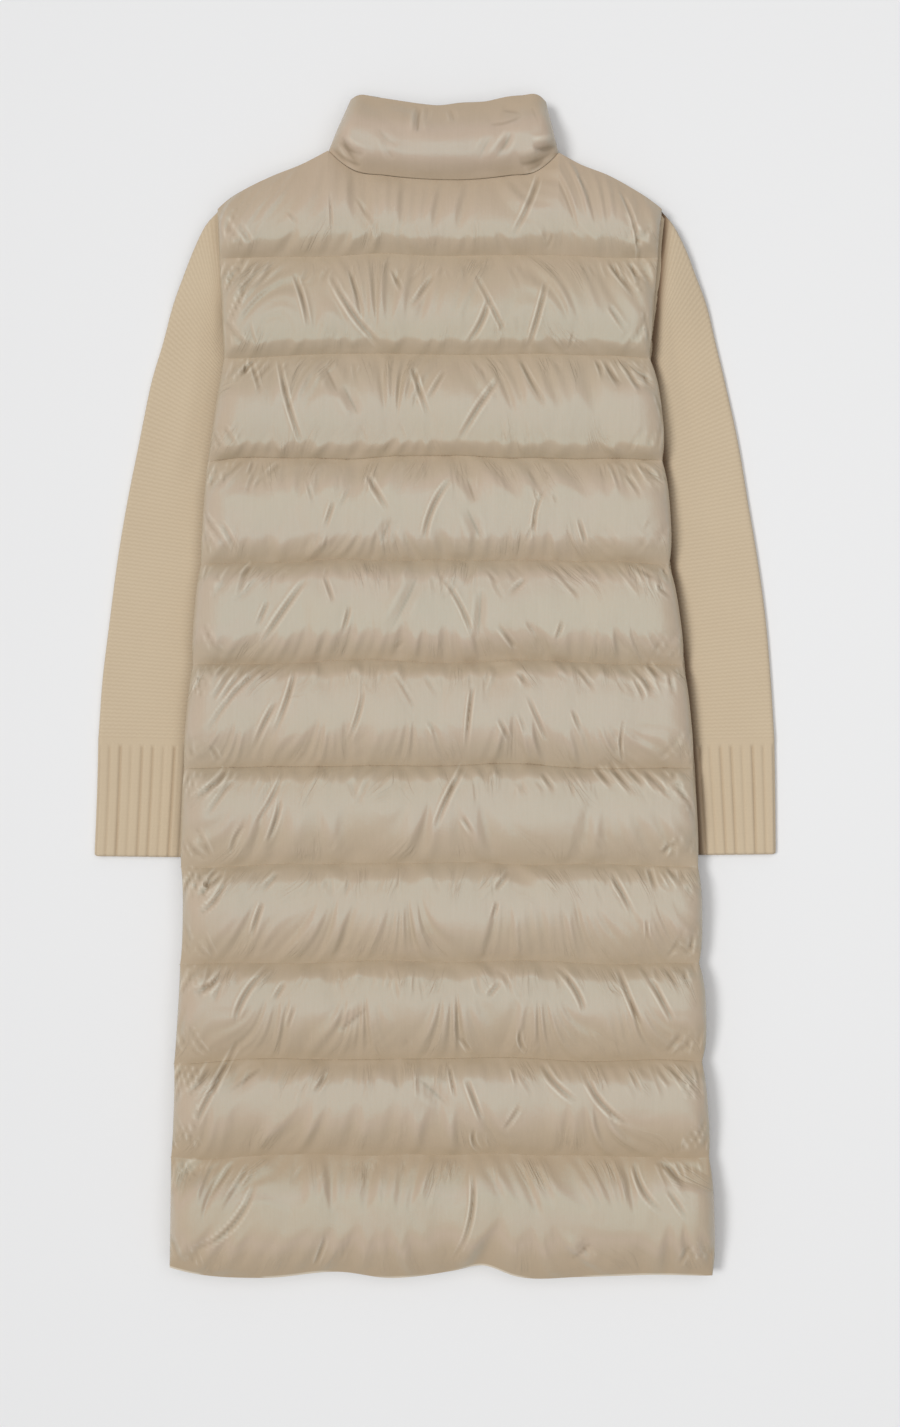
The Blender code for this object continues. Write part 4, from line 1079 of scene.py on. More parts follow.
class Tree:
    """A Geometry Nodes group, grown one node at a time."""

    def __init__(self, name, sizes):
        self.group = bpy.data.node_groups.new(name, "GeometryNodeTree")
        new_socket = self.group.interface.new_socket
        new_socket("Geometry", in_out="INPUT", socket_type="NodeSocketGeometry")
        self.sockets = {
            size: new_socket(size, in_out="INPUT", socket_type="NodeSocketFloat").identifier
            for size in sizes
        }
        new_socket("Geometry", in_out="OUTPUT", socket_type="NodeSocketGeometry")
        self.inputs = self.group.nodes.new("NodeGroupInput").outputs

    def add(self, kind, settings=None, values=None, output=0):
        """A node of one kind, its settings first, then the values or links of its sockets."""
        node = self.group.nodes.new(kind)
        for name, value in (settings or {}).items():
            setattr(node, name, value)
        fill_inputs(self.group, node, values)
        return node.outputs[output]

    def points_along(self):
        """Points along the paths, one after another at the input named Spacing."""
        curve = self.add("GeometryNodeMeshToCurve", values={0: self.inputs["Geometry"]})
        places = {"Curve": curve, "Length": self.inputs["Spacing"]}
        return self.add("GeometryNodeCurveToPoints", {"mode": "LENGTH"}, places)

    def finish(self, geometry, look):
        """Ends the tree: the copies become one mesh, of one material."""
        geometry = self.add("GeometryNodeRealizeInstances", values={0: geometry})
        geometry = self.add("GeometryNodeSetMaterial", values={"Geometry": geometry, "Material": look})
        self.group.links.new(geometry, self.group.nodes.new("NodeGroupOutput").inputs[0])

    def grow(self, name, paths, sizes):
        """A plain mesh: the tree's result along rows of points."""
        points = np.concatenate(paths)
        starts = np.cumsum([0] + [len(path) for path in paths])
        edges = [(i, i + 1) for a, b in zip(starts[:-1], starts[1:]) for i in range(a, b - 1)]
        mesh = bpy.data.meshes.new(name + "_path")
        mesh.from_pydata(points.tolist(), edges, [])
        guide = add_object(name + "_path", mesh)
        modifier = guide.modifiers.new("sewn", "NODES")
        modifier.node_group = self.group
        for size, value in sizes.items():
            modifier[self.sockets[size]] = value
        shown = guide.evaluated_get(bpy.context.evaluated_depsgraph_get())
        made = bpy.data.meshes.new_from_object(shown)
        guide.modifiers.remove(modifier)
        bpy.data.objects.remove(guide)
        if not made.polygons:
            raise RuntimeError(f"{name}: the node tree made no faces")
        made.name = name
        made.shade_smooth()
        return add_object(name, made)


def stitch_tree(look):
    """Stitches: one stretched bead after another along each path."""
    tree = Tree("stitches", ("Spacing", "Stitch length", "Thread"))
    points = tree.points_along()
    tangent = points.node.outputs["Tangent"]
    turn = tree.add("FunctionNodeAlignRotationToVector", {"axis": "Z"}, {"Vector": tangent})
    bead = tree.add("GeometryNodeMeshUVSphere", values={"Segments": 5, "Rings": 3, "Radius": 0.5})
    thread, length = tree.inputs["Thread"], tree.inputs["Stitch length"]
    size = tree.add("ShaderNodeCombineXYZ", values={0: thread, 1: thread, 2: length})
    copies = {"Points": points, "Instance": bead, "Rotation": turn, "Scale": size}
    tree.finish(tree.add("GeometryNodeInstanceOnPoints", values=copies), look)
    return tree


def stitched(name, paths, sizes):
    """The stitches along a piece's quilting lines."""
    look = bpy.data.materials.get("thread") or thread_finish(bpy.context.scene.coat_colours)
    found = {"Spacing": sizes.stitch_spacing, "Stitch length": sizes.stitch_length, "Thread": sizes.thread}
    return stitch_tree(look).grow(name, list(paths), found)


def tooth_tree(look):
    """Zip teeth: blocks that lean to either side of the path in turn."""
    tree = Tree("teeth", ("Spacing", "Tooth length", "Tooth width", "Tooth height", "Offset"))
    points = tree.points_along()
    index = tree.add("GeometryNodeInputIndex")
    odd = tree.add("ShaderNodeMath", {"operation": "MODULO"}, {0: index, 1: 2.0})
    side = tree.add("ShaderNodeMath", {"operation": "MULTIPLY_ADD"}, {0: odd, 1: 2.0, 2: -1.0})
    aside = tree.add("ShaderNodeMath", {"operation": "MULTIPLY"}, {0: side, 1: tree.inputs["Offset"]})
    shift = tree.add("ShaderNodeCombineXYZ", values={0: aside})
    points = tree.add("GeometryNodeSetPosition", values={"Geometry": points, "Offset": shift})
    block = tree.add("GeometryNodeMeshCube", values={"Size": (1.0, 1.0, 1.0)})
    sides = (tree.inputs["Tooth " + name] for name in ("width", "length", "height"))
    size = tree.add("ShaderNodeCombineXYZ", values=dict(enumerate(sides)))
    copies = {"Points": points, "Instance": block, "Scale": size}
    tree.finish(tree.add("GeometryNodeInstanceOnPoints", values=copies), look)
    return tree


# The closure


TAPE_BOTTOM = 0.45  # share of the zip's height that lies below its tape, where the teeth are
ZIP_END = 0.004  # bare tape past the teeth
TOOTH_SHARE = 0.62  # share of its spacing that a tooth fills
TOOTH_WIDTH = 0.0028
TOOTH_OFFSET = 0.0009
# The slider's parts: name, lower and upper corner as shares of its box, and rounding of the edges
SLIDER_PARTS = (
    ("wings", (0.0, 0.35, 0.35), (1.0, 1.0, 1.0), 0.0004),
    ("bridge", (0.36, 0.45, 0.0), (0.64, 0.95, 0.5), 0.0002),
    ("pull", (0.25, 0.0, 0.0), (0.75, 0.60, 0.3), 0.00018),
)


def add_block(name, low, high, look, bevel):
    """A block between two corners with rounded edges."""
    work = bmesh.new()
    bmesh.ops.create_cube(work, size=1.0)
    low, high = np.array(low), np.array(high)
    for vertex in work.verts:
        vertex.co = (low + high) / 2.0 + np.array(vertex.co) * (high - low)
    bmesh.ops.bevel(work, geom=work.edges, offset=bevel, segments=3, profile=0.5, affect="EDGES")
    mesh = bpy.data.meshes.new(name)
    work.to_mesh(mesh)
    work.free()
    mesh.materials.append(look)
    return add_object(name, mesh)


def make_zip(sizes, tape_look, metal_look):
    """The tape lies up against the fronts and its teeth face the floor."""
    low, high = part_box("front_zip")
    middle = low.z + (high.z - low.z) * TAPE_BOTTOM
    tape = add_block("zip_tape", (low.x, low.y, middle), tuple(high), tape_look, 0.0003)
    centre, height = (low.x + high.x) / 2.0, middle - low.z
    rise = np.linspace(low.y + ZIP_END, high.y - ZIP_END, 60)
    path = np.array([(centre, y, low.z + height / 2.0) for y in rise])
    found = {
        "Spacing": sizes.tooth_spacing, "Tooth length": sizes.tooth_spacing * TOOTH_SHARE,
        "Tooth width": TOOTH_WIDTH, "Tooth height": height, "Offset": TOOTH_OFFSET,
    }
    return tape, tooth_tree(metal_look).grow("zip_teeth", [path], found)


def make_slider(look):
    """The slider's wings, the bridge between them and the pull, all within the slider's box."""
    low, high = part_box("zip_slider")
    size = high - low
    return [
        add_block("slider_" + name, low + size * Vector(a), low + size * Vector(b), look, bevel)
        for name, a, b, bevel in SLIDER_PARTS
    ]


# The knitted sleeves and cuffs


def smooth_sections(sections, count):
    """count sections along a smooth curve through the given ones."""
    rows = np.array(sections)
    before = np.vstack((2 * rows[0] - rows[1], rows, 2 * rows[-1] - rows[-2]))
    found = []
    for place in np.linspace(0.0, len(rows) - 1.0, count):
        i = min(int(place), len(rows) - 2)
        t = place - i
        a, b, c, d = before[i : i + 4]
        found.append(
            0.5 * (2 * b + (c - a) * t + (2 * a - 5 * b + 4 * c - d) * t**2 + (3 * b - a - 3 * c + d) * t**3)
        )
    return [Section(*row) for row in found]


def section_middle(section):
    return (section.outer_x + section.inner_x) / 2.0, (section.outer_y + section.inner_y) / 2.0


def section_width(section):
    return np.hypot(section.outer_x - section.inner_x, section.outer_y - section.inner_y)


def tube_loop(width, thickness, top_steps, end_steps, under_steps):
    """(across, up, across_normal, up_normal, girth) round a flattened tube, from under its outer end."""
    radius = thickness / 2.0
    reach = width / 2.0 - radius
    loop = []
    for end, steps in ((1, top_steps), (-1, under_steps)):
        for step in range(end_steps):
            turn = np.pi * (step / end_steps - 0.5)
            across, up = np.cos(turn) * end, np.sin(turn) * end
            loop.append((reach * end + radius * across, radius * up, across, up))
        for step in range(steps):
            loop.append((end * reach * (1.0 - 2.0 * step / steps), radius * end, 0.0, float(end)))
    loop = np.array(loop)
    return np.column_stack((loop, running_length(loop[:, :2])))


def edge_x(y, side, lines=QUILT_LINES):
    """x of the body's straight edge at y, from one quilting line's end to the next."""
    ends = [(line.y, line_end(line, side)) for line in lines[::-1]]
    return np.interp(y, *zip(*ends))


def sleeve_underside(x, y, side):
    """How far a sleeve's underside lies off the floor, over the top of its armhole."""
    away = np.maximum(side * (x - edge_x(y, side, QUILT_LINES[:3])), 0.0)
    rise = smoothstep((y - UNDERARM_Y) / SLEEVE_HEAD_RISE)
    return SLEEVE_HEAD_LIFT * rise * (1.0 - smoothstep(away / SLEEVE_HEAD_FADE))


def tucked_shadow_at(ring, side):
    """How much painted shadow each point of a ring gets from the body, beside the body's edge."""
    aside = side * (ring[:, 0] - edge_x(ring[:, 1], side))
    return TUCKED_SHADE[side] * np.exp(-((np.maximum(aside - TUCKED_START, 0.0) / TUCKED_REACH) ** 2))


def ring_at(section, loop, thickness, side, crown=0.0, creases=(), raised=0.0):
    """One ring of points: a tube's loop laid across a section, raised along its outward direction."""
    outer = np.array((section.outer_x, section.outer_y))
    inner = np.array((section.inner_x, section.inner_y))
    width = np.hypot(*(outer - inner))
    direction = (outer - inner) / width
    across = loop[:, 0] + raised * loop[:, 2]
    plan = (outer + inner) / 2.0 + across[:, None] * direction
    x, y = plan[:, 0], plan[:, 1]
    relief, folds = np.zeros((1, len(x))), np.zeros((1, len(x)))
    if creases:
        add_creases(relief, folds, x[None], y[None], creases, seed=21)
    top = np.clip(loop[:, 1] / (thickness / 2.0), 0.0, 1.0)
    up = thickness / 2.0 + loop[:, 1] + raised * loop[:, 3]
    pressed = relief[0] + SLEEVE_PRESS[side] * np.exp(-(((x - edge_x(y, side)) / PRESS_REACH) ** 2))
    up = up + top * (crown * (1.0 - (loop[:, 0] / (width / 2.0)) ** 2) - pressed)
    return np.column_stack((x, y, np.maximum(up, 0.0) + sleeve_underside(x, y, side)))


def knit_relief(girth, length, sizes):
    """Height of the knit: rows of small loops, each row set half a loop aside."""
    row = length / sizes.row
    loop = girth / sizes.loop + 0.5 * (np.floor(row) % 2)
    wavy = 0.5 + 0.5 * np.cos(2.0 * np.pi * (row + 0.07 * np.sin(2.0 * np.pi * girth / sizes.loop)))
    return sizes.relief * (wavy * (0.72 + 0.28 * np.cos(2.0 * np.pi * loop)) - 0.5)


def add_tube(name, outside, inside, look, marks, sheet_map):
    """An open tube's wall, from rings round its outside and fewer rings round its inside."""
    rings = np.array(list(outside) + list(inside)[::-1])
    count, around, _ = rings.shape
    faces = grid_faces(count, around, closed=True, looped=True)
    rest = np.zeros((len(inside) * around, 2))
    marks = {mark: np.concatenate((np.ravel(v), rest[:, 0])) for mark, v in marks.items()}
    sheet_map = np.vstack((np.reshape(sheet_map, (-1, 2)), rest))
    piece = add_mesh(name, rings.reshape(-1, 3), faces, look, marks, sheet_map)
    turned_outward(piece).data.set_sharp_from_angle(angle=SEAM_ANGLE)
    return piece


def widened(section, side):
    """A section whose outer end reaches further out below the armhole, as soft knit spreads."""
    spread = KNIT_SPREAD * smoothstep((SPREAD_BELOW_Y - section.outer_y) / SPREAD_FADE)
    return section._replace(outer_x=section.outer_x + side * spread)


def make_sleeve(name, sections, creases, side, sizes, look):
    """A knitted sleeve, which thickens into the cuff's first section, its length and its cloth's area."""
    found = [widened(section, side) for section in smooth_sections(sections, SLEEVE_RINGS)]
    lengths = running_length([section_middle(section) for section in found])
    outside, inside, places, tucked_shadow, area = [], [], [], [], 0.0
    for number, (section, length) in enumerate(zip(found, lengths)):
        width = section_width(section)
        area += 2.0 * width * (length - lengths[max(number - 1, 0)])
        joined = smoothstep(1.0 - (lengths[-1] - length) / CUFF_BLEND)
        thickness = SLEEVE_THICKNESS + (CUFF_THICKNESS - SLEEVE_THICKNESS) * joined
        crown = SLEEVE_CROWN * (1.0 - joined)
        loop = tube_loop(width, thickness, *SLEEVE_LOOP)
        kept = np.where(loop[:, 3] > -0.5, 1.0, UNDERSIDE_RELIEF)
        raised = knit_relief(loop[:, 4], length, sizes) * kept
        raised = raised * smoothstep((lengths[-1] - length) / KNIT_END_FADE)
        outside.append(ring_at(section, loop, thickness, side, crown, creases, raised))
        tucked_shadow.append(tucked_shadow_at(outside[-1], side))
        places.append(np.column_stack((loop[:, 4], np.full(len(loop), length))))
        if number % INSIDE_SHARE == 0:
            loop = tube_loop(width - 2 * KNIT_WALL, thickness - 2 * KNIT_WALL, *SLEEVE_LOOP)
            inside.append(ring_at(section, loop, thickness, side, crown))
    piece = add_tube(name, outside, inside, look, {"tucked_shadow": tucked_shadow}, places)
    return piece, lengths[-1], area


def rib_relief(girth, around, length, whole, sizes):
    """Height of the ribs: grooves of uneven depth between rounded ribs, which start softly below the sleeve.
    Each rib has a shallow wale along its middle, and the cuff's last rows roll in."""
    ribs = girth / around * 2 * (RIBS_ON_A_FACE + 1)
    share = ribs % 1.0
    beside = np.minimum(share, 1.0 - share)
    number = np.floor(ribs + 0.5)
    depth = 0.75 + 0.35 * np.sin(2.4 * number + 1.0)
    start = smoothstep((length - 0.0005 - 0.004 * (1.0 - 2.0 * beside) ** 2) / 0.006)
    groove = depth * np.exp(-((beside / GROOVE_WIDTH) ** 2)) * start
    wale = WALE_DEPTH * np.exp(-(((share - 0.5) / WALE_WIDTH) ** 2)) * start
    round_rib = RIB_ROUND * (1.0 - 4.0 * beside * (1.0 - beside)) * start
    row = RIB_ROW_RELIEF * np.cos(2.0 * np.pi * (length / sizes.row + np.abs(share * 2.0 % 1.0 - 0.5)))
    end = 1.0 - quarter_round((whole - length) / CUFF_ROLL)
    return -sizes.rib_depth * (groove + wale + round_rib) + row * start - CUFF_ROLL_DEPTH * end


def make_cuff(name, sections, side, sizes, look):
    """A ribbed cuff, its length and its cloth's area."""
    found = [widened(section, side) for section in smooth_sections(sections, CUFF_RINGS)]
    lengths = running_length([section_middle(section) for section in found])
    outside, inside, places, tucked_shadow, grooves = [], [], [], [], []
    for section, length in zip(found, lengths):
        width = section_width(section)
        loop = tube_loop(width, CUFF_THICKNESS, *CUFF_LOOP)
        around = loop[-1, 4] + np.hypot(*(loop[-1, :2] - loop[0, :2]))
        raised = rib_relief(loop[:, 4], around, length, lengths[-1], sizes)
        outside.append(ring_at(section, loop, CUFF_THICKNESS, side, raised=raised))
        tucked_shadow.append(tucked_shadow_at(outside[-1], side))
        # painted shade where the relief dips: in the grooves between the ribs and where the cuff's end rolls
        # in
        grooves.append(GROOVE_SHADE * np.clip(-raised / sizes.rib_depth, 0.0, 1.0) ** 2.0)
        places.append(np.column_stack((loop[:, 4], np.full(len(loop), length))))
        if not inside or length > lengths[-1] * len(inside) / CUFF_INSIDE_RINGS:
            loop = tube_loop(width - 2 * KNIT_WALL, CUFF_THICKNESS - 2 * KNIT_WALL, *CUFF_LOOP)
            inside.append(ring_at(section, loop, CUFF_THICKNESS, side))
    piece = add_tube(name, outside, inside, look, {"tucked_shadow": tucked_shadow, "groove": grooves}, places)
    return piece, lengths[-1], 2.0 * section_width(found[0]) * lengths[-1]


# Materials


class Value:
    """A node's output in a Python expression: each operator adds its Math node."""

    def __init__(self, finish, socket):
        self.finish, self.socket = finish, socket

    def _math(self, operation, first, second=None):
        values = {0: first} if second is None else {0: first, 1: second}
        return self.finish.add("ShaderNodeMath", {"operation": operation}, values)

    def __add__(self, other):
        return self._math("ADD", self, other)

    def __sub__(self, other):
        return self._math("SUBTRACT", self, other)

    def __mul__(self, other):
        return self._math("MULTIPLY", self, other)

    def __radd__(self, other):
        return self._math("ADD", other, self)

    def __rsub__(self, other):
        return self._math("SUBTRACT", other, self)

    def __rmul__(self, other):
        return self._math("MULTIPLY", other, self)

    def sine(self):
        return self._math("SINE", self)

    def size(self):
        return self._math("ABSOLUTE", self)

    def within(self, low, high):
        """0 at low, 1 at high, and held at 0 and 1 outside them."""
        values = {"Value": self, "From Min": low, "From Max": high}
        return self.finish.add("ShaderNodeMapRange", {"clamp": True}, values, "Result")


class Finish:
    """A material with one Principled shader, and the nodes that feed it."""

    def __init__(self, name, **constants):
        self.material = bpy.data.materials.new(name)
        self.material.use_nodes = True
        self.tree = self.material.node_tree
        self.shader = self.tree.nodes["Principled BSDF"]
        for socket, value in constants.items():
            self.shader.inputs[socket.replace("_", " ")].default_value = value
        self.place = self.add("ShaderNodeTexCoord", output="Object")

    def add(self, kind, settings=None, values=None, output=0):
        """A node of one kind, its settings first, then the values or links of its sockets."""
        node = self.tree.nodes.new(kind)
        for name, value in (settings or {}).items():
            setattr(node, name, value)
        fill_inputs(self.tree, node, values)
        return Value(self, node.outputs[output])

    def mix(self, factor, first, second):
        """Two colours mixed by a value."""
        first, second = (c if isinstance(c, Value) else (*c[:3], 1.0) for c in (first, second))
        return self.add("ShaderNodeMix", {"data_type": "RGBA"}, {0: factor, 6: first, 7: second}, 2)

    def mark(self, name):
        """One of the values that the mesh carries at its points."""
        return self.add("ShaderNodeAttribute", {"attribute_name": name}, output="Fac")

    def axes(self, place):
        """The x, y and z of coordinates, each as a value."""
        outputs = self.add("ShaderNodeSeparateXYZ", {}, {0: place}).socket.node.outputs
        return [Value(self, socket) for socket in outputs]

    def noise(self, place, scale, detail=2.0, roughness=0.5):
        values = {"Vector": place, "Scale": scale, "Detail": detail, "Roughness": roughness}
        return self.add("ShaderNodeTexNoise", {}, values)

    def wave(self, direction, scale, distortion=0.0):
        values = {"Vector": self.place, "Scale": scale, "Distortion": distortion}
        return self.add("ShaderNodeTexWave", {"bands_direction": direction}, values)

    def stretched(self, scale):
        """The piece's coordinates, scaled by a different amount along each axis."""
        return self.add("ShaderNodeMapping", {}, {"Vector": self.place, "Scale": scale})

    def bump(self, height, distance, strength=1.0, under=None):
        values = {"Height": height, "Distance": distance, "Strength": strength}
        if under is not None:
            values["Normal"] = under
        return self.add("ShaderNodeBump", {}, values)

    def set(self, socket, value):
        self.tree.links.new(value.socket, self.shader.inputs[socket])


def shell_finish(colours):
    """Shot nylon: golden brown thread one way, cool grey-green the other, calendered to a satin sheen. Its
    colour also has painted shade in its quilting lines, on its slopes and in its creases and gathers, and
    painted highlight on the creases' ridges.
    """
    finish = Finish(
        "shot_nylon", Roughness=0.27, Specular_IOR_Level=0.74, Specular_Tint=(0.35, 0.915, 1.0, 1.0),
        Sheen_Weight=0.12, Sheen_Roughness=0.35, Sheen_Tint=(0.80, 0.88, 0.86, 1.0),
    )
    # full is the share of painted light, and fold the creases' painted shade and highlight lines
    full, fold = finish.mark("full"), finish.mark("fold")
    lean, gathered = finish.mark("lean"), finish.mark("gathered")
    height = finish.axes(finish.place)[1]
    drift = finish.noise(finish.place, 9.0)
    blush = finish.noise(finish.stretched((14.0, 26.0, 10.0)), 1.0, 3.0, 0.6)
    streaks = finish.noise(finish.stretched((620.0, 26.0, 60.0)), 1.0, 3.0, 0.6)
    # slope is the stretch between each channel's crown and its quilting lines, where the shell gets painted
    # rose shade
    slope = full.within(0.40, 0.75) - full.within(0.75, 0.98)
    across = finish.add("ShaderNodeCombineXYZ", {}, {0: lean * 150.0, 1: height * 24.0})
    ripple = finish.noise(across, 1.0, 2.0, 0.55)
    # lines along the gathers' valleys: painted shade in the colour, and a dent in the bump
    gather_line_and_shade = (1.0 - (ripple - 0.5).size().within(0.0, 0.075)) * gathered.within(0.1, 0.9)
    tone = finish.mix(drift.within(0.35, 0.65), colours.shell_warm, colours.shell_cool)
    tints = (
        (blush.within(0.48, 0.68) * 0.4, colours.shell_rose),
        (height.within(0.44, 0.53) * 0.7, colours.shell_rose),
        # painted shade on the collar's top
        (height.within(0.553, 0.585) * 0.45, colours.shell_deep_and_shade),
        # darker towards the hem
        (height.within(-0.15, -0.55) * 0.25, colours.shell_deep_and_shade),
        # painted shade in the quilting lines and beside the side edges, where the full mark is low, stronger
        # towards the hem
        ((1.0 - full) * (0.55 + height.within(-0.20, -0.50) * 0.40), colours.shell_deep_and_shade),
        # painted shade: rose on the slopes
        (slope * 0.45, colours.shell_rose),
        (streaks.within(0.3, 0.7) * 0.10, colours.shell_thread),
        # painted shade along the creases' valleys
        (fold.within(0.15, 2.0) * 0.7, colours.shell_fold_shade),
        # painted highlight on the ridges beside the creases and along the hem's turned edge
        (fold.within(-0.12, -1.6) * 0.6, colours.shell_ridge_highlight),
        # painted shade along the gathers' valleys
        (gather_line_and_shade * 0.18, colours.shell_fold_shade),
    )
    for share, tint in tints:
        tone = finish.mix(share, tone, tint)
    finish.set("Base Color", tone)
    crumple = finish.noise(finish.stretched((120.0, 70.0, 100.0)), 1.0, 3.0, 0.55)
    soft = finish.bump(crumple, 0.0007, 0.5)
    soft = finish.bump(ripple * gathered.within(0.0, 1.0) - gather_line_and_shade * 0.35, 0.0016, 0.65, soft)
    weave = finish.wave("X", 900.0) + finish.wave("Y", 900.0)
    finish.set("Normal", finish.bump(weave, 0.00003, 0.4, soft))
    return finish.material


def knit_finish(colours, sizes, name, rows_share):
    """Matt wool: painted shade between its rows and loops, with a haze of fibres, painted shade in the
    cuffs' grooves and painted shadow where it runs in under the body. rows_share is how much of the rows
    shows."""
    finish = Finish(
        name, Roughness=0.92, Specular_IOR_Level=0.2, Sheen_Weight=0.35, Sheen_Roughness=0.5,
        Sheen_Tint=(0.85, 0.84, 0.80, 1.0),
    )
    girth, length, _ = finish.axes(finish.add("ShaderNodeUVMap", {"uv_map": "cloth"}))
    turn = 2.0 * np.pi
    loop_turn = girth * (turn / sizes.loop)
    rows = 0.5 + 0.5 * (length * (turn / sizes.row) + turn / 4.0 + 0.44 * loop_turn.sine()).sine()
    loops = 0.5 + 0.5 * (loop_turn + length * (np.pi / sizes.row)).sine()
    drift = finish.noise(finish.place, 14.0, 3.0)
    fuzz = finish.noise(finish.place, 900.0)
    # painted shade in the gaps between rows and loops
    between = (1.0 - rows * (0.8 + 0.2 * loops)) * (0.35 * rows_share)
    deep = between + (fuzz - 0.5) * 0.25 + (drift - 0.5) * 0.3 + 0.16 * (1.0 - rows_share)
    # knit_deep_and_shade gives the wool's uneven darker tone, and the painted shade between the stitches and
    # in the cuffs' grooves
    tone = finish.mix((deep + finish.mark("groove")).within(0.0, 1.0), colours.knit, colours.knit_deep_and_shade)
    # painted shadow of the body on the knit beside its edge
    finish.set("Base Color", finish.mix(finish.mark("tucked_shadow"), tone, colours.knit_tucked_shadow))
    stitches = finish.bump(rows * loops, 0.00018, 0.6 * rows_share)
    finish.set("Normal", finish.bump(fuzz, 0.0004, 0.5, stitches))
    return finish.material


def thread_finish(colours):
    """Polyester sewing thread, twisted."""
    finish = Finish("thread", Roughness=0.55, Specular_IOR_Level=0.4)
    twist = finish.noise(finish.place, 2200.0, 1.0)
    finish.set("Base Color", finish.mix(twist, colours.shell_deep_and_shade, colours.shell_thread))
    return finish.material


def tape_finish(colours):
    """Herringbone tape."""
    finish = Finish("zip_tape", Roughness=0.8, Specular_IOR_Level=0.3)
    twill = finish.wave("DIAGONAL", 700.0, 0.6)
    finish.set("Base Color", finish.mix(twill, colours.shell_deep_and_shade, colours.shell_thread))
    finish.set("Normal", finish.bump(twill, 0.0002, 0.5))
    return finish.material


def metal_finish(colours):
    """Pale plated metal, a little rubbed."""
    finish = Finish("zip_metal", Metallic=1.0)
    rubbed = finish.noise(finish.place, 260.0, 3.0)
    finish.set("Base Color", finish.mix(rubbed, colours.metal, [part * 0.8 for part in colours.metal]))
    finish.set("Roughness", 0.24 + rubbed * 0.16)
    return finish.material


def floor_finish(colours):
    """Matt paper, very slightly uneven."""
    finish = Finish("paper_floor", Roughness=0.92, Specular_IOR_Level=0.1)
    shade = finish.noise(finish.place, 1.2)
    finish.set("Base Color", finish.mix(shade, colours.floor, [part * 0.985 for part in colours.floor]))
    return finish.material


# Settings


def colour(name, text, value):
    return bpy.props.FloatVectorProperty(
        name=name, description=text, default=value, size=3, subtype="COLOR", min=0.0, max=1.0
    )


def measure(name, text, value):
    return bpy.props.FloatProperty(name=name, description=text, default=value, unit="LENGTH")


def power(name, text, value):
    return bpy.props.FloatProperty(name=name, description=text, default=value, min=0.0)


class CoatColours(bpy.types.PropertyGroup):
    shell_warm: colour("Shell, warm", "The golden thread of the shell", (0.544, 0.434, 0.318))
    shell_cool: colour("Shell, cool", "The cooler thread of the shell", (0.534, 0.439, 0.333))
    shell_rose: colour("Shell, rose", "The pinkish cast of the shell in places", (0.560, 0.430, 0.335))
    shell_thread: colour("Shell, thread", "The darker threads that run up the shell", (0.400, 0.300, 0.190))
    # Shell, fold: painted shade along the creases' valleys
    shell_fold_shade: colour("Shell, fold", "The shell in the bottom of its creases", (0.300, 0.215, 0.140))
    # Shell, ridge: painted highlight on the ridges beside the creases and along the hem
    shell_ridge_highlight: colour("Shell, ridge", "The shell on the ridges beside its creases", (0.780, 0.690, 0.560))
    # Shell, deep: the shell's darker golden tone, which the shot nylon also uses as painted shade in its
    # quilting lines and on the collar's top; thread and tape take it as their own colour
    shell_deep_and_shade: colour("Shell, deep", "The shell in its quilting lines", (0.474, 0.354, 0.236))
    knit: colour("Knit", "The wool of the sleeves", (0.590, 0.480, 0.338))
    # Knit, deep: the wool's darker tone, also painted as shade between its stitches and in the cuffs'
    # grooves
    knit_deep_and_shade: colour("Knit, deep", "The wool between its stitches", (0.460, 0.350, 0.232))
    # Knit, tucked: painted shadow of the body on the knit beside its edge
    knit_tucked_shadow: colour("Knit, tucked", "The wool that runs in under the body", (0.150, 0.080, 0.040))
    metal: colour("Metal", "The plated metal of the zip", (0.70, 0.64, 0.54))
    floor: colour("Floor", "The pale paper under the coat", (0.826, 0.826, 0.826))


class KnitSizes(bpy.types.PropertyGroup):
    row: measure("Row height", "Height of a row of stitches", 0.0039)
    loop: measure("Stitch width", "Width of a stitch", 0.0056)
    relief: measure("Relief", "How far the rows stand out", 0.00022)
    rib_depth: measure("Rib depth", "Depth of the grooves between the cuffs' ribs", 0.0014)


class SewingSizes(bpy.types.PropertyGroup):
    stitch_spacing: measure("Stitch spacing", "From one stitch to the next", 0.0034)
    stitch_length: measure("Stitch length", "Length of a stitch", 0.0028)
    thread: measure("Thread", "Thickness of the thread", 0.00045)
    tooth_spacing: measure("Tooth spacing", "From one zip tooth to the next", 0.0022)


class StageSizes(bpy.types.PropertyGroup):
    camera_height: measure("Camera height", "Height of the camera above the floor", 2.0)
    view_length: measure("View length", "Length of floor that the picture shows", 1.427)
    view_x: measure("View centre X", "Middle of the picture", 0.015)
    view_y: measure("View centre Y", "Middle of the picture", -0.026)
    lamp_x: measure("Lamp X", "Place of the lamp", 0.30)
    lamp_y: measure("Lamp Y", "Place of the lamp", 0.10)
    lamp_height: measure("Lamp height", "Height of the lamp above the floor", 2.9)
    lamp_size: measure("Lamp size", "Side of the square lamp", 3.4)
    side_strength: power("Side light", "Strength of the light from the left", 1.3)
    side_tilt: bpy.props.FloatProperty(
        name="Side tilt", description="How far the side light leans to the left",
        default=0.52, subtype="ANGLE",
    )
    fill: power("Fill", "Strength of the even light from all round", 0.34)
    lamp_power: power("Lamp power", "Power of the soft lamp, in watts", 38.0)


# Operators


def finished(piece, slot, *nodes):
    """The piece rides with the coat and stands for its solids."""
    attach(piece, "root")
    if nodes:
        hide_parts(*nodes)
    return piece


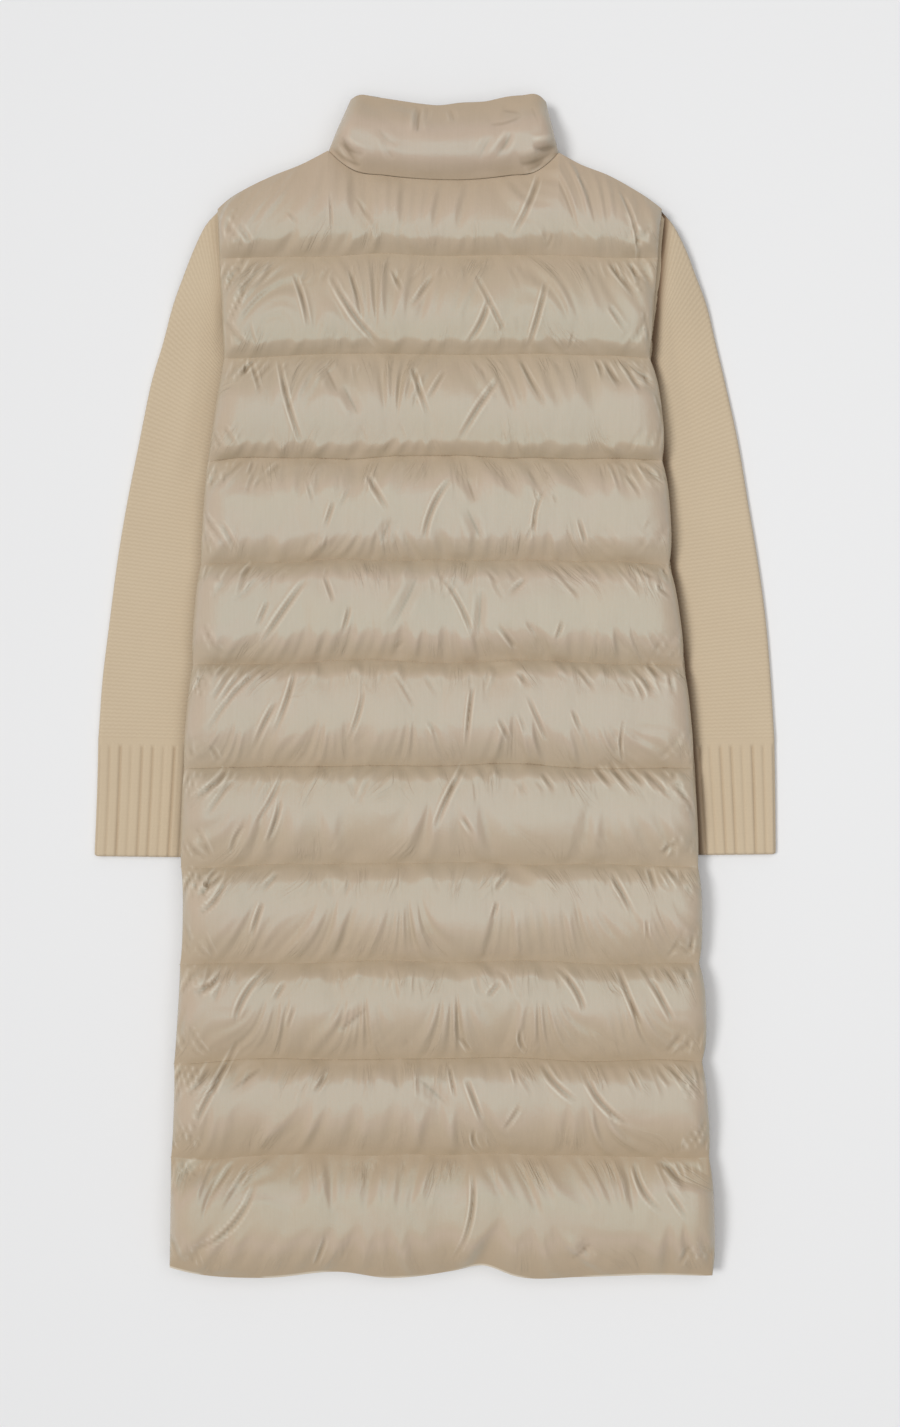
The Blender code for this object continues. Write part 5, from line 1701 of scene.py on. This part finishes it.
def declare_tube(length, area, girth):
    """Works out the smaller of a knitted tube's cloth area and its girth times its length, and keeps
    nothing.
    """
    min(area, girth * length)


class COAT_OT_back(bpy.types.Operator):
    """Makes the quilted back"""

    bl_idname = "coat.back"
    bl_label = "Quilted Back"

    def execute(self, context):
        pieces, lines = make_back(shell_finish(context.scene.coat_colours))
        for piece in pieces:
            finished(piece, "shell_fabric", "back_panel")
        finished(stitched("back_quilting", lines, context.scene.coat_sewing), "shell_fabric")
        return {"FINISHED"}


class COAT_OT_fronts(bpy.types.Operator):
    """Makes the two quilted fronts, which lie underneath"""

    bl_idname = "coat.fronts"
    bl_label = "Quilted Fronts"

    def execute(self, context):
        look = bpy.data.materials["shot_nylon"]
        for name, side in (("front_left", -1), ("front_right", 1)):
            piece, lines = make_front("quilted_" + name, side, look)
            finished(piece, "shell_fabric", name)
            finished(stitched(name + "_quilting", lines, context.scene.coat_sewing), "shell_fabric")
        return {"FINISHED"}


class COAT_OT_closure(bpy.types.Operator):
    """Makes the zip between the fronts: its tape, its teeth and its slider"""

    bl_idname = "coat.closure"
    bl_label = "Zip"

    def execute(self, context):
        colours = context.scene.coat_colours
        tape_look, metal_look = tape_finish(colours), metal_finish(colours)
        tape, teeth = make_zip(context.scene.coat_sewing, tape_look, metal_look)
        finished(tape, "zip_tape", "front_zip")
        finished(teeth, "zip_metal")
        wings, bridge, pull = make_slider(metal_look)
        finished(wings, "zip_metal", "zip_slider")
        finished(bridge, "zip_metal")
        finished(pull, "zip_metal")
        return {"FINISHED"}


class COAT_OT_collar(bpy.types.Operator):
    """Makes the padded stand collar"""

    bl_idname = "coat.collar"
    bl_label = "Stand Collar"

    def execute(self, context):
        piece = finished(make_collar(bpy.data.materials["shot_nylon"]), "shell_fabric", "collar")
        return {"FINISHED"}


class COAT_OT_sleeves(bpy.types.Operator):
    """Makes the knitted sleeves and their ribbed cuffs"""

    bl_idname = "coat.sleeves"
    bl_label = "Knitted Sleeves"

    def execute(self, context):
        sizes = context.scene.coat_knit
        look = knit_finish(context.scene.coat_colours, sizes, "wool_knit", 1.0)
        rib_look = knit_finish(context.scene.coat_colours, sizes, "wool_rib", 0.15)
        sides = (("left", -1, LEFT_SLEEVE, LEFT_CUFF), ("right", 1, RIGHT_SLEEVE, RIGHT_CUFF))
        for name, side, sleeve, cuff in sides:
            creases = SLEEVE_CREASES[name]
            joined = (*sleeve[:-1], cuff[0])
            piece, length, area = make_sleeve("knit_sleeve_" + name, joined, creases, side, sizes, look)
            finished(piece, "knit", "sleeve_" + name)
            declare_tube(length, area, 2.0 * max(section_width(s) for s in sleeve[1:]))
            piece, length, area = make_cuff("rib_cuff_" + name, cuff, side, sizes, rib_look)
            finished(piece, "knit", "cuff_" + name)
            declare_tube(length, area, 2.0 * section_width(cuff[0]))
        return {"FINISHED"}


FLOOR_REACH = 5.0
FLOOR_DROP = 0.0002  # how far the floor lies below the coat's underside
VIEW_HEIGHT = 0.025  # height above the floor at which the view length is measured


def place_lamp(light, place, turn=(0.0, 0.0, 0.0)):
    lamp = add_object(light.name, light)
    lamp.location, lamp.rotation_euler = place, turn
    return lamp


class COAT_OT_stage(bpy.types.Operator):
    """Sets up the floor, the soft lamps and the camera"""

    bl_idname = "coat.stage"
    bl_label = "Stage"

    def execute(self, context):
        sizes = context.scene.coat_stage
        signs = ((-1, -1), (1, -1), (1, 1), (-1, 1))
        corners = [(x * FLOOR_REACH, y * FLOOR_REACH, -FLOOR_DROP) for x, y in signs]
        floor = add_mesh("paper_floor", corners, [(0, 1, 2, 3)], floor_finish(context.scene.coat_colours))
        soft = bpy.data.lights.new("soft_lamp", "AREA")
        soft.shape, soft.size, soft.energy = "RECTANGLE", sizes.lamp_size, sizes.lamp_power
        soft.size_y = 0.9 * sizes.lamp_size
        place_lamp(soft, (sizes.lamp_x, sizes.lamp_y, sizes.lamp_height))
        side = bpy.data.lights.new("side_lamp", "SUN")
        side.energy, side.angle = sizes.side_strength, 0.30
        lamp = place_lamp(side, (-1.0, 0.2, 2.0), turn=(math.radians(-4.0), -sizes.side_tilt, 0.0))
        lamp.visible_glossy = False
        world = bpy.data.worlds.new("studio")
        world.use_nodes = True
        back = world.node_tree.nodes["Background"]
        back.inputs["Color"].default_value = (0.98, 0.985, 1.0, 1.0)
        back.inputs["Strength"].default_value = sizes.fill
        context.scene.world = world
        camera = bpy.data.cameras.new("camera")
        camera.sensor_width = 36.0
        camera.lens = camera.sensor_width * (sizes.camera_height - VIEW_HEIGHT) / sizes.view_length
        eye = add_object("camera", camera)
        eye.location = (sizes.view_x, sizes.view_y, sizes.camera_height)
        context.scene.camera = eye
        context.scene.view_settings.view_transform = "Standard"
        return {"FINISHED"}


PIECES = (
    COAT_OT_back, COAT_OT_fronts, COAT_OT_closure, COAT_OT_collar, COAT_OT_sleeves, COAT_OT_stage,
)


class COAT_PT_pieces(bpy.types.Panel):
    """Lists the coat's pieces"""

    bl_label = "Long Down Coat"
    bl_idname = "COAT_PT_pieces"
    bl_space_type = "VIEW_3D"
    bl_region_type = "UI"
    bl_category = "Coat"

    def draw(self, context):
        for operator in PIECES:
            self.layout.operator(operator.bl_idname)


CLASSES = (CoatColours, KnitSizes, SewingSizes, StageSizes, *PIECES, COAT_PT_pieces)


def register():
    for kind in CLASSES:
        bpy.utils.register_class(kind)
    bpy.types.Scene.coat_colours = bpy.props.PointerProperty(type=CoatColours)
    bpy.types.Scene.coat_knit = bpy.props.PointerProperty(type=KnitSizes)
    bpy.types.Scene.coat_sewing = bpy.props.PointerProperty(type=SewingSizes)
    bpy.types.Scene.coat_stage = bpy.props.PointerProperty(type=StageSizes)


def unregister():
    del bpy.types.Scene.coat_stage
    del bpy.types.Scene.coat_sewing
    del bpy.types.Scene.coat_knit
    del bpy.types.Scene.coat_colours
    for kind in reversed(CLASSES):
        bpy.utils.unregister_class(kind)


def main():
    register()
    for operator in PIECES:
        group, name = operator.bl_idname.split(".")
        getattr(getattr(bpy.ops, group), name)()


if __name__ == "__main__":
    main()
